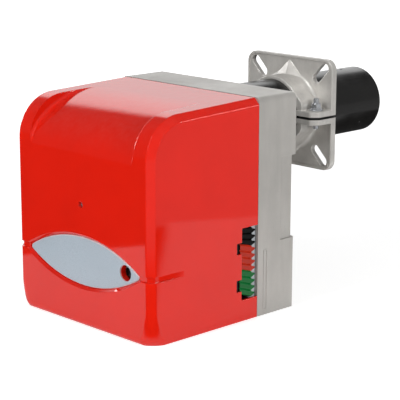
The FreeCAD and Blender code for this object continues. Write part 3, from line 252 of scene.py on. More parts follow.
class Group:
    """Node group with named inputs, which is built at its first use."""

    name: ClassVar[str] = "group"
    tree_type: ClassVar[str] = "ShaderNodeTree"
    shared: ClassVar[dict[str, Any]] = {}
    inputs: ClassVar[dict[str, Any]] = {}
    outputs: ClassVar[dict[str, Kind]] = {}
    made: ClassVar[dict[str, bpy.types.NodeTree]] = {}

    def tree(self) -> bpy.types.NodeTree:
        """The group's tree, filled once.

        Returns:
            The node tree.
        """
        if self.name not in Group.made:
            tree = bpy.data.node_groups.new(self.name, self.tree_type)
            for label, kind in self.outputs.items():
                tree.interface.new_socket(label, in_out="OUTPUT", socket_type=kind.value)
            for label, value in (self.shared | self.inputs).items():
                kind = value if isinstance(value, Kind) else KIND_OF_VALUE[type(value)]
                socket = tree.interface.new_socket(label, in_out="INPUT", socket_type=kind.value)
                if kind is not value:
                    socket.default_value = value
            self.fill(Board(tree, "NodeGroupOutput", "NodeGroupInput"))
            Group.made[self.name] = tree
        return Group.made[self.name]

    def fill(self, board: Board) -> None:
        """Add the group's own nodes to its board."""
        raise NotImplementedError


class Effect(Group):
    """Shader node group that several finishes use."""

    def use(self, board: Board, **values: float) -> Sockets:
        """Place the group in a material.

        Args:
            board: Board of the material's tree.
            **values: Inputs by name.

        Returns:
            The outputs of the group.
        """
        made = board.node("ShaderNodeGroup", node_tree=self.tree())
        for key, value in values.items():
            board.put(made.inputs[key], value)
        return made.outputs


class SoftEdges(Effect):
    """Rounds sharp edges for the light and finds them as a mask."""

    name = "soft_edges"
    inputs = {"Radius": 0.0006, "Gain": 6.0}
    outputs = {"Normal": Kind.VECTOR, "Edge": Kind.NUMBER}

    def fill(self, board: Board) -> None:
        """Compare the bevelled normal with the flat one.

        Args:
            board: Board of the group.
        """
        bevel = board.node("ShaderNodeBevel", {"Radius": board.given("Radius")}, samples=6).outputs[0]
        away = board.math("SUBTRACT", 1.0, board.along(bevel, board.normal()))
        board.give({"Normal": bevel, "Edge": board.math("MULTIPLY", away, board.given("Gain"), clamp=True)})


class CastSkin(Effect):
    """Skin of a die casting: clouds of tone, flow streaks and fine pebbles."""

    name = "cast_skin"
    inputs = {"Cloud": 18.0, "Pebble": 1500.0}
    outputs = {"Tone": Kind.NUMBER, "Pits": Kind.NUMBER, "Height": Kind.NUMBER}
    streak: ClassVar[Point] = (60.0, 60.0, 9.0)
    pit_scale: ClassVar[float] = 420.0

    def fill(self, board: Board) -> None:
        """Mix three sizes of noise into tone, pits and height.

        Args:
            board: Board of the group.
        """
        place = board.place()
        cloud = board.noise(place, board.given("Cloud"), detail=5.0, rough=0.62)
        streak = board.noise(board.stretch(place, self.streak), 1.0, detail=4.0, rough=0.6)
        tone = board.math("ADD", board.product(cloud, 0.65), board.product(streak, 0.35))
        pebble = board.noise(place, board.given("Pebble"), detail=3.0, rough=0.55)
        cells = board.node("ShaderNodeTexVoronoi", {"Vector": place, "Scale": self.pit_scale}, feature="F1")
        rare = board.remap(board.noise(place, 55.0), 0.58, 0.7)
        pits = board.product(board.remap(cells.outputs["Distance"], 0.06, 0.2, 1.0, 0.0), rare)
        height = board.math("SUBTRACT", pebble, board.product(pits, 0.6))
        board.give({"Tone": tone, "Pits": pits, "Height": height})


class FineGrain(Effect):
    """Even fine grain of a moulding or a paint, with a slow change of tone."""

    name = "fine_grain"
    inputs = {"Scale": 1200.0, "Slow": 25.0}
    outputs = {"Height": Kind.NUMBER, "Tone": Kind.NUMBER}

    def fill(self, board: Board) -> None:
        """Give a fine height and a slow tone.

        Args:
            board: Board of the group.
        """
        place = board.place()
        height = board.noise(place, board.given("Scale"), detail=2.0, rough=0.6)
        tone = board.noise(place, board.given("Slow"), detail=3.0, rough=0.55)
        board.give({"Height": height, "Tone": tone})


class HandlingMarks(Effect):
    """Short fine scratches and wiped patches from handling."""

    name = "handling_marks"
    inputs = {"Amount": 0.5, "Size": 40.0}
    outputs = {"Scratch": Kind.NUMBER, "Wipe": Kind.NUMBER}
    strands: ClassVar[tuple[Point, Point]] = ((900.0, 60.0, 110.0), (80.0, 120.0, 1000.0))

    def fill(self, board: Board) -> None:
        """Cut thin lines from two stretched noises and keep them in patches.

        Args:
            board: Board of the group.
        """
        place = board.place()
        lines = []
        for scale in self.strands:
            strand = board.noise(board.stretch(place, scale), 1.0, detail=3.0, rough=0.7)
            lines.append(board.remap(strand, 0.66, 0.72))
        patch = board.noise(place, board.given("Size"), detail=3.0, rough=0.6)
        scratch = board.product(board.math("MAXIMUM", *lines), board.remap(patch, 0.5, 0.72))
        for name, mask in (("Scratch", scratch), ("Wipe", board.remap(patch, 0.35, 0.7))):
            board.give({name: board.math("MULTIPLY", mask, board.given("Amount"), clamp=True)})


class SettledDust(Effect):
    """Thin dust on faces that look up."""

    name = "settled_dust"
    inputs = {"Amount": 0.3}
    outputs = {"Mask": Kind.NUMBER}

    def fill(self, board: Board) -> None:
        """Weigh the upward part of the normal with a broken noise.

        Args:
            board: Board of the group.
        """
        level = board.remap(board.along(board.normal(), UPWARD), 0.35, 1.0)
        broken = board.remap(board.noise(board.place(), 90.0, detail=6.0, rough=0.7), 0.35, 0.75)
        mask = board.product(level, broken)
        board.give({"Mask": board.math("MULTIPLY", mask, board.given("Amount"), clamp=True)})


SOFT_EDGES = SoftEdges()
CAST_SKIN = CastSkin()
FINE_GRAIN = FineGrain()
HANDLING = HandlingMarks()
DUST = SettledDust()


SHADER_SOCKETS = {
    "base": "Base Color",
    "rough": "Roughness",
    "normal": "Normal",
    "metallic": "Metallic",
    "specular": "Specular IOR Level",
    "coat": "Coat Weight",
}


@dataclass(frozen=True)
class Finish:
    """Base of every finish: a name, a colour, and how the surface is made."""

    name: str
    colour: Colour

    def material(self) -> bpy.types.Material:
        """The Blender material, which is made once for each name.

        Returns:
            The material with its node tree.
        """
        known = bpy.data.materials.get("finish_" + self.name)
        if known is not None:
            return known
        made = bpy.data.materials.new("finish_" + self.name)
        board = open_board(made, "ShaderNodeBsdfPrincipled")
        board.node("ShaderNodeOutputMaterial", {"Surface": board.target.outputs[0]})
        self.dress(board)
        return made

    def dress(self, board: Board) -> None:
        """Fill the shader's sockets, by a board whose target is the shader."""
        raise NotImplementedError

    def lay(self, board: Board, **values: Any) -> None:
        """Fill sockets of the shader by their short names."""
        board.give({SHADER_SOCKETS[key]: value for key, value in values.items()})

    def tones(self, board: Board, mask: Any, low: float, high: float) -> Socket:
        """The finish's own colour, scaled by one factor where a mask is 0 and by another where it is 1."""
        return board.mix(mask, shade(self.colour, low), shade(self.colour, high))


@dataclass(frozen=True)
class GlossMoulding(Finish):
    """Coloured plastic with a mould-polished surface."""

    roughness: float = 0.1
    peel: float = 0.00003
    peel_scale: float = 70.0
    specular: float = 0.5
    marks: float = 0.35
    dust: float = 0.04
    edge: float = 0.0005

    def dress(self, board: Board) -> None:
        """Orange peel, slow tone, painted highlights on the edges, light handling marks and a trace of dust.

        Args:
            board: Board of the material.
        """
        edges = SOFT_EDGES.use(board, Radius=self.edge)
        grain = FINE_GRAIN.use(board, Scale=self.peel_scale, Slow=14.0)
        marks = HANDLING.use(board, Amount=self.marks, Size=24.0)
        dust = DUST.use(board, Amount=self.dust)
        base = self.tones(board, board.remap(grain["Tone"], *NOISE_SPAN), low=1.0, high=0.93)
        # Painted highlight: the sharp edges are lightened towards a paler shade of the colour.
        base = board.over(base, shade(self.colour, 1.25), edges["Edge"], amount=0.22)
        base = board.mix(dust["Mask"], base, DUST_COLOUR)
        rough = board.math("ADD", board.product(marks["Scratch"], 0.16), self.roughness)
        rough = board.shift(rough, marks["Wipe"], amount=0.03)
        normal = board.bump(grain["Height"], self.peel, edges["Normal"])
        self.lay(board, base=base, rough=rough, normal=normal, specular=self.specular)


@dataclass(frozen=True)
class LabelPlate(Finish):
    """Satin plate with a painted highlight on the bevel round its rim and round its hole."""

    painted_bevel_highlight: Colour = (0.72, 0.66, 0.68)
    roughness: float = 0.3
    grain: float = 0.00002

    def dress(self, board: Board) -> None:
        """Fine satin grain, and a painted highlight on the bevel, where the face turns away from the front.

        Args:
            board: Board of the material.
        """
        edges = SOFT_EDGES.use(board, Radius=0.0003)
        grain = FINE_GRAIN.use(board, Scale=1100.0, Slow=30.0)
        marks = HANDLING.use(board, Amount=0.5, Size=30.0)
        # Painted highlight: where the face turns away from the front, the bevel is set to a pale pinkish
        # colour.
        bevel = board.ease(board.along(board.normal(), TO_VIEWER), 0.96, 0.85)
        base = board.mix(bevel, self.tones(board, grain["Tone"], low=0.95, high=1.05), self.painted_bevel_highlight)
        rough = board.remap(grain["Height"], *NOISE_SPAN, self.roughness - 0.04, self.roughness + 0.05)
        rough = board.shift(rough, marks["Wipe"], amount=-0.08)
        normal = board.bump(grain["Height"], self.grain, edges["Normal"])
        self.lay(board, base=base, rough=rough, normal=normal)


@dataclass(frozen=True)
class SocketMoulding(Finish):
    """Coloured plug socket whose front wall and inner parts are black."""

    front_black: Colour = (0.003, 0.003, 0.003)
    gloss: float = 0.3
    crest_highlight: float = 3.0
    grain: float = 0.00003
    shell_front: float = -235.6 * MM
    shell_side: float = 119.0 * MM

    def dress(self, board: Board) -> None:
        """Coloured ribs with painted highlights on their crests over a black core.

        Args:
            board: Board of the material.
        """
        edges = SOFT_EDGES.use(board, Radius=0.0008, Gain=9.0)
        grain = FINE_GRAIN.use(board, Scale=900.0, Slow=70.0)
        place = board.place()
        behind = board.ease(board.along(place, TO_BOILER), self.shell_front - 0.2 * MM, self.shell_front)
        outside = board.ease(board.along(place, TO_RIGHT), self.shell_side, self.shell_side + 3.0 * MM)
        base = self.tones(board, grain["Tone"], low=0.82, high=1.12)
        # Painted highlight: the rib edges are lightened towards a much paler shade of the colour.
        base = board.over(base, shade(self.colour, self.crest_highlight), edges["Edge"], amount=0.85)
        # Black in front of the front wall and inside the side line; the colour shows only on faces behind
        # and beyond both.
        base = board.mix(board.product(behind, outside), self.front_black, base)
        rough = board.remap(grain["Tone"], *NOISE_SPAN, 0.3, 0.42)
        normal = board.bump(grain["Height"], self.grain, edges["Normal"])
        self.lay(board, base=base, rough=rough, normal=normal, specular=self.gloss)


@dataclass(frozen=True)
class TerminalBase(Finish):
    """Dark terminal base with a pale strip behind the sockets' teeth."""

    strip: Colour = (0.52, 0.55, 0.58)
    strip_front: float = -217.0 * MM
    strip_fade: float = 0.4 * MM
    grain: float = 0.00005

    def dress(self, board: Board) -> None:
        """Eroded grain on both colours.

        Args:
            board: Board of the material.
        """
        edges = SOFT_EDGES.use(board, Radius=0.0004)
        grain = FINE_GRAIN.use(board, Scale=2000.0, Slow=60.0)
        reach = board.along(board.place(), TO_BOILER)
        strip = board.ease(reach, self.strip_front - self.strip_fade, self.strip_front)
        base = board.mix(strip, self.colour, self.strip)
        base = board.mix(board.remap(grain["Tone"], *NOISE_SPAN, 0.0, 0.2), base, self.colour)
        rough = board.remap(grain["Height"], *NOISE_SPAN, 0.42, 0.55)
        normal = board.bump(grain["Height"], self.grain, edges["Normal"])
        self.lay(board, base=base, rough=rough, normal=normal)


@dataclass(frozen=True)
class MattMoulding(Finish):
    """Plastic with a fine eroded texture."""

    roughness: float = 0.5
    grain: float = 0.00005
    grain_scale: float = 2200.0
    wear: float = 0.5
    edge: float = 0.0004

    def dress(self, board: Board) -> None:
        """Eroded grain, painted highlights on the edges and uneven gloss.

        Args:
            board: Board of the material.
        """
        edges = SOFT_EDGES.use(board, Radius=self.edge)
        grain = FINE_GRAIN.use(board, Scale=self.grain_scale, Slow=60.0)
        marks = HANDLING.use(board, Amount=self.wear, Size=60.0)
        base = self.tones(board, grain["Tone"], low=0.85, high=1.12)
        # Painted highlight: the sharp edges are lightened towards a paler shade of the colour.
        base = board.over(base, shade(self.colour, 1.7), edges["Edge"], amount=0.3)
        rough = board.remap(grain["Height"], *NOISE_SPAN, self.roughness - 0.06, self.roughness + 0.06)
        rough = board.shift(rough, marks["Wipe"], amount=-0.1)
        normal = board.bump(grain["Height"], self.grain, edges["Normal"])
        self.lay(board, base=base, rough=rough, normal=normal)


@dataclass(frozen=True)
class CastMetal(Finish):
    """Die-cast or sand-cast metal, with painted shade in the parting gap at mid height where it has one."""

    roughness: float = 0.42
    metallic: float = 0.9
    stain: float = 0.75
    pebble: float = 0.00006
    pebble_scale: float = 1500.0
    cloud: float = 18.0
    edge: float = 0.0008
    edge_highlight_share: float = 0.5
    gap: float = 0.0
    gap_fade: float = 0.3 * MM

    def dress(self, board: Board) -> None:
        """Clouded skin, pits, bright scratches, painted highlights on the edges and painted shade in the
        parting gap where there is one.

        Args:
            board: Board of the material.
        """
        edges = SOFT_EDGES.use(board, Radius=self.edge, Gain=5.0)
        skin = CAST_SKIN.use(board, Cloud=self.cloud, Pebble=self.pebble_scale)
        marks = HANDLING.use(board, Amount=0.6, Size=30.0)
        base = self.tones(board, board.remap(skin["Tone"], *NARROW_SPAN), low=self.stain, high=1.06)
        base = board.over(base, shade(self.colour, 0.35), skin["Pits"], amount=0.5)
        # Painted highlight on the sharp edges, joined with real scratches, which also show bright.
        wear_and_edge_highlight = board.product(edges["Edge"], self.edge_highlight_share)
        edge_highlight_and_scratches = board.math("MAXIMUM", wear_and_edge_highlight, board.product(marks["Scratch"], 0.45))
        base = board.mix(edge_highlight_and_scratches, base, shade(self.colour, 1.45))
        # Painted shade: faces within the height of the parting gap are set nearly black.
        if self.gap > 0.0:
            height = board.math("ABSOLUTE", board.along(board.place(), UPWARD))
            inside = board.ease(height, self.gap, self.gap - self.gap_fade)
            base = board.mix(inside, base, shade(self.colour, 0.04))
        rough = board.remap(skin["Tone"], *NARROW_SPAN, self.roughness + 0.08, self.roughness - 0.05)
        rough = board.shift(rough, edge_highlight_and_scratches, amount=-0.16)
        normal = board.bump(skin["Height"], self.pebble, edges["Normal"])
        self.lay(board, base=base, rough=rough, normal=normal, metallic=self.metallic)


@dataclass(frozen=True)
class WorkedMetal(Finish):
    """Rolled, drawn, turned or plated metal with marks in one direction."""

    roughness: float = 0.3
    way: Way = Way.NONE
    mark: float = 0.00001
    tarnish: Colour = (0.3, 0.25, 0.2)
    tarnish_amount: float = 0.25
    edge: float = 0.0004
    metallic: float = 1.0

    def dress(self, board: Board) -> None:
        """Directional marks, clouded tarnish and painted highlights on the edges.

        Args:
            board: Board of the material.
        """
        edges = SOFT_EDGES.use(board, Radius=self.edge)
        grain = FINE_GRAIN.use(board, Scale=500.0, Slow=110.0)
        lines = board.noise(board.stretch(board.place(), self.way.value), 1400.0, detail=2.0, rough=0.6)
        cloud = board.remap(grain["Tone"], 0.42, 0.75, 0.0, self.tarnish_amount)
        base = board.mix(cloud, self.colour, self.tarnish)
        base = board.over(base, shade(self.colour, 0.8), lines, amount=0.25)
        # Painted highlight: the sharp edges are lightened towards a paler shade of the metal.
        base = board.over(base, shade(self.colour, 1.3), edges["Edge"], amount=0.4)
        rough = board.remap(lines, *NOISE_SPAN, self.roughness - 0.06, self.roughness + 0.07)
        rough = board.shift(rough, cloud, amount=0.35)
        normal = board.bump(lines, self.mark, edges["Normal"])
        self.lay(board, base=base, rough=rough, normal=normal, metallic=self.metallic)


@dataclass(frozen=True)
class Enamel(Finish):
    """Sprayed paint or stoved enamel on metal."""

    roughness: float = 0.3
    peel: float = 0.00004
    peel_scale: float = 260.0
    wear_and_edge_highlight: Colour = (0.12, 0.11, 0.1)
    chip: float = 0.5
    specular: float = 0.5

    def dress(self, board: Board) -> None:
        """Orange peel, dull patches and thin paint at the edges.

        Args:
            board: Board of the material.
        """
        edges = SOFT_EDGES.use(board, Radius=0.0005)
        grain = FINE_GRAIN.use(board, Scale=self.peel_scale, Slow=22.0)
        marks = HANDLING.use(board, Amount=0.8, Size=35.0)
        chips = board.product(edges["Edge"], self.chip)
        thin = board.math("MAXIMUM", chips, board.product(marks["Scratch"], 0.35))
        base = board.mix(thin, self.tones(board, grain["Tone"], low=0.75, high=1.3), self.wear_and_edge_highlight)
        rough = board.remap(grain["Tone"], *NARROW_SPAN, self.roughness - 0.05, self.roughness + 0.07)
        rough = board.shift(rough, marks["Scratch"], amount=0.2)
        normal = board.bump(grain["Height"], self.peel, edges["Normal"])
        self.lay(board, base=base, rough=rough, normal=normal, specular=self.specular)


@dataclass(frozen=True)
class HeatSteel(Finish):
    """Heat-resistant steel with the tint of a trial firing."""

    roughness: float = 0.34
    start: float = 0.09
    end: float = 0.14
    mark: float = 0.00001
    straw: Colour = (0.5, 0.38, 0.2)
    purple: Colour = (0.32, 0.2, 0.2)
    blue: Colour = (0.2, 0.22, 0.3)

    def dress(self, board: Board) -> None:
        """Straw to blue tint towards the flame, with drawn lines.

        Args:
            board: Board of the material.
        """
        edges = SOFT_EDGES.use(board, Radius=0.0003)
        place = board.place()
        wander = board.product(board.math("SUBTRACT", board.noise(place, 60.0, detail=3.0), 0.5), 0.02)
        reach = board.math("ADD", board.along(place, TO_BOILER), wander)
        ramp = board.node("ShaderNodeValToRGB", {0: board.remap(reach, self.start, self.end)})
        stops = ((0.0, self.colour), (0.4, self.straw), (0.7, self.purple), (1.0, self.blue))
        while len(ramp.color_ramp.elements) < len(stops):
            ramp.color_ramp.elements.new(0.5)
        for element, (position, colour) in zip(ramp.color_ramp.elements, stops):
            element.position = position
            element.color = (*colour, 1.0)
        lines = board.noise(board.stretch(place, (1.0, 0.05, 1.0)), 900.0)
        base = board.over(ramp.outputs[0], shade(self.colour, 0.5), lines, amount=0.3)
        rough = board.remap(lines, *NOISE_SPAN, self.roughness - 0.06, self.roughness + 0.1)
        normal = board.bump(lines, self.mark, edges["Normal"])
        self.lay(board, base=base, rough=rough, normal=normal, metallic=1.0)


@dataclass(frozen=True)
class Glaze(Finish):
    """White glazed ceramic."""

    roughness: float = 0.12
    dull: float = 0.22
    coat: float = 0.6
    peel: float = 0.00003
    speck: Colour = (0.25, 0.17, 0.1)

    def dress(self, board: Board) -> None:
        """Slightly uneven glaze over a warm body with a few iron specks.

        Args:
            board: Board of the material.
        """
        edges = SOFT_EDGES.use(board, Radius=0.0004)
        grain = FINE_GRAIN.use(board, Scale=180.0, Slow=50.0)
        specks = board.remap(board.noise(board.place(), 1600.0, detail=1.0), 0.74, 0.8, 0.0, 0.6)
        base = board.mix(specks, self.tones(board, grain["Tone"], low=1.0, high=0.9), self.speck)
        rough = board.remap(grain["Tone"], *NOISE_SPAN, self.roughness, self.dull)
        normal = board.bump(grain["Height"], self.peel, edges["Normal"])
        self.lay(board, base=base, rough=rough, normal=normal, coat=self.coat)


@dataclass(frozen=True)
class Wound(Finish):
    """Varnished copper wire, seen as close turns round the motor's axis."""

    centre_x: float = -45.0 * MM
    centre_z: float = -138.0 * MM
    wire: float = 0.8 * MM
    depth: float = 0.3 * MM

    def dress(self, board: Board) -> None:
        """Turns of wire as waves over the distance from the axis.

        Args:
            board: Board of the material.
        """
        place = board.stretch(board.place(), shift=(-self.centre_x, 0.0, -self.centre_z))
        squares = [board.math("POWER", board.along(place, axis), 2.0) for axis in (TO_RIGHT, UPWARD)]
        radius = board.math("SQRT", board.math("ADD", *squares))
        turn = board.math("DIVIDE", board.math("ADD", radius, board.along(place, TO_BOILER)), self.wire)
        wave = board.math("ABSOLUTE", board.math("SINE", board.product(turn, math.pi)))
        # Painted shade: the colour darkens in the creases between the turns.
        base = self.tones(board, wave, low=0.35, high=1.0)
        rough = board.remap(wave, 0.0, 1.0, 0.5, 0.25)
        self.lay(board, base=base, rough=rough, normal=board.bump(wave, self.depth), metallic=0.8)


@dataclass(frozen=True)
class Laminated(Finish):
    """Stack of thin steel sheets across the motor's axis."""

    sheet: float = 0.5 * MM
    depth: float = 0.1 * MM

    def dress(self, board: Board) -> None:
        """One dark line between each pair of sheets.

        Args:
            board: Board of the material.
        """
        along = board.product(board.along(board.place(), TO_BOILER), math.pi / self.sheet)
        line = board.remap(board.math("ABSOLUTE", board.math("SINE", along)), 0.0, 0.4)
        base = self.tones(board, line, low=0.3, high=1.0)
        rough = board.remap(line, 0.0, 1.0, 0.6, 0.35)
        self.lay(board, base=base, rough=rough, normal=board.bump(line, self.depth), metallic=1.0)


RED_COVER = GlossMoulding("red_cover", linear(215, 26, 7), roughness=0.045, peel=0.000015, edge=0.0009)
LABEL = LabelPlate("label_blue", linear(163, 176, 186))
BUTTON = GlossMoulding("button_red", linear(190, 18, 12), roughness=0.2)
BLACK_SOCKET = SocketMoulding("black_socket", linear(3, 3, 3), gloss=0.12, crest_highlight=1.2)
RED_SOCKET = SocketMoulding("red_socket", linear(168, 34, 10))
GREEN_SOCKET = SocketMoulding("green_socket", linear(0, 96, 40))
BLACK_PLASTIC = MattMoulding("black_plastic", linear(22, 22, 23), roughness=0.42)
CONTROL_PLASTIC = MattMoulding("control_plastic", linear(46, 50, 54), roughness=0.48)
BASE_PLASTIC = TerminalBase("base_plastic", linear(16, 16, 17))
TRANSFORMER_RESIN = MattMoulding("transformer_resin", linear(38, 38, 41), roughness=0.55, grain_scale=1100.0)
CAPACITOR_PLASTIC = MattMoulding("capacitor_plastic", linear(206, 206, 200), roughness=0.4)
COUPLING_PLASTIC = MattMoulding("coupling_plastic", linear(226, 220, 204), roughness=0.4)
LEAD_SILICONE = MattMoulding("lead_silicone", linear(150, 52, 34), roughness=0.38, grain_scale=900.0)
LEAD_BLACK = MattMoulding("lead_black", linear(26, 26, 27), roughness=0.36, grain_scale=900.0)
CAST_HOUSING = CastMetal("cast_housing", linear(188, 185, 180), metallic=0.45, stain=0.86, cloud=9.0)
CAST_PLAIN = CastMetal("cast_plain", linear(186, 186, 183), roughness=0.46, metallic=0.6)
FLANGE_CAST = CastMetal(
    "flange_cast",
    linear(206, 203, 198),
    roughness=0.34,
    metallic=0.42,
    pebble=0.00004,
    cloud=26.0,
    edge=0.0014,
    edge_highlight_share=1.0,
    gap=1.9 * MM,
)
PUMP_CAST = CastMetal(
    "pump_cast", linear(132, 132, 130), roughness=0.5, stain=0.6, pebble=0.00012, pebble_scale=900.0
)
ZINC_SHEET = WorkedMetal(
    "zinc_sheet", linear(186, 189, 190), roughness=0.34, way=Way.ALONG_X, tarnish=(0.35, 0.36, 0.33)
)
ZINC_FASTENER = WorkedMetal(
    "zinc_fastener", linear(208, 211, 216), roughness=0.18, tarnish=(0.4, 0.4, 0.34), metallic=0.84
)
BRIGHT_STEEL = WorkedMetal("bright_steel", linear(180, 180, 180), roughness=0.26, way=Way.ALONG_Y)
CORE_STEEL = WorkedMetal("core_steel", linear(156, 156, 156), roughness=0.36)
BRASS = WorkedMetal("brass", linear(206, 170, 98), roughness=0.26, tarnish=(0.32, 0.2, 0.08))
COPPER_PIPE = WorkedMetal("copper_pipe", linear(204, 128, 92), roughness=0.24, tarnish=(0.3, 0.12, 0.06))
BLACK_TUBE = Enamel(
    "black_tube", linear(16, 15, 14), roughness=0.18, wear_and_edge_highlight=(0.03, 0.028, 0.025), chip=0.3, specular=0.4
)
MOTOR_PAINT = Enamel(
    "motor_paint", linear(62, 66, 70), roughness=0.42, peel_scale=420.0, wear_and_edge_highlight=(0.3, 0.3, 0.3)
)
HEAT_STEEL = HeatSteel("heat_steel", linear(176, 170, 160))
CERAMIC = Glaze("ceramic", linear(236, 233, 224))
WINDING = Wound("winding", linear(196, 110, 62))
LAMINATED = Laminated("laminated", linear(140, 140, 142))


@dataclass
class PhotoCamera:
    """Camera at the photograph's viewing angle."""

    place: Point = (1.3868, -1.5300, 0.3536)
    azimuth: float = 45.85
    elevation: float = 13.31
    roll: float = 0.14
    focal_pixels: float = 1461.25
    nearest: float = 0.05
    farthest: float = 60.0

    def build(self) -> None:
        """Make the scene's camera."""
        data = bpy.data.cameras.new("photo_camera")
        data.sensor_width = SENSOR_WIDTH
        data.lens = self.focal_pixels / IMAGE_PIXELS * SENSOR_WIDTH
        data.clip_start = self.nearest
        data.clip_end = self.farthest
        camera = bpy.data.objects.new("photo_camera", data)
        bpy.context.scene.collection.objects.link(camera)
        turn, tilt = math.radians(self.azimuth), math.radians(self.elevation)
        ahead = (-math.sin(turn) * math.cos(tilt), math.cos(turn) * math.cos(tilt), -math.sin(tilt))
        roll = Matrix.Rotation(math.radians(self.roll), 4, "Z")
        camera.matrix_world = looking(self.place, Vector(ahead)) @ roll
        bpy.context.scene.camera = camera


def looking(place: Point, ahead: Vector) -> Matrix:
    """Placement of a camera or lamp at a point, turned to look ahead."""
    return Matrix.Translation(place) @ ahead.to_track_quat("-Z", "Y").to_matrix().to_4x4()


@dataclass(frozen=True)
class SoftBox:
    """Rectangular soft lamp, which lights matt faces, shows in shiny ones, or both."""

    name: str
    place: Point
    width: float
    height: float
    power: float
    lights: bool = True
    shines: bool = True
    only: tuple[str, ...] = ()
    aim: Point = (0.0, -0.25, -0.1)

    def build(self) -> None:
        """Make the lamp, which the camera doesn't see."""
        data = bpy.data.lights.new("lamp_" + self.name, "AREA")
        data.shape = "RECTANGLE"
        data.size = self.width
        data.size_y = self.height
        data.energy = self.power
        lamp = bpy.data.objects.new("lamp_" + self.name, data)
        lamp.visible_camera = False
        lamp.visible_diffuse = self.lights
        lamp.visible_glossy = self.shines
        if self.only:
            lamp.light_linking.receiver_collection = bpy.data.collections.new("lit_by_" + self.name)
            for node in self.only:
                lamp.light_linking.receiver_collection.objects.link(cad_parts[node])
        bpy.context.scene.collection.objects.link(lamp)
        lamp.matrix_world = looking(self.place, Vector(self.aim) - Vector(self.place))


FRONT = (0.0, -2.5, 1.35)
RIGHT = (2.7, -0.3, 0.7)
FLANGE = ("flange_upper", "flange_lower", "clamp_bolts")


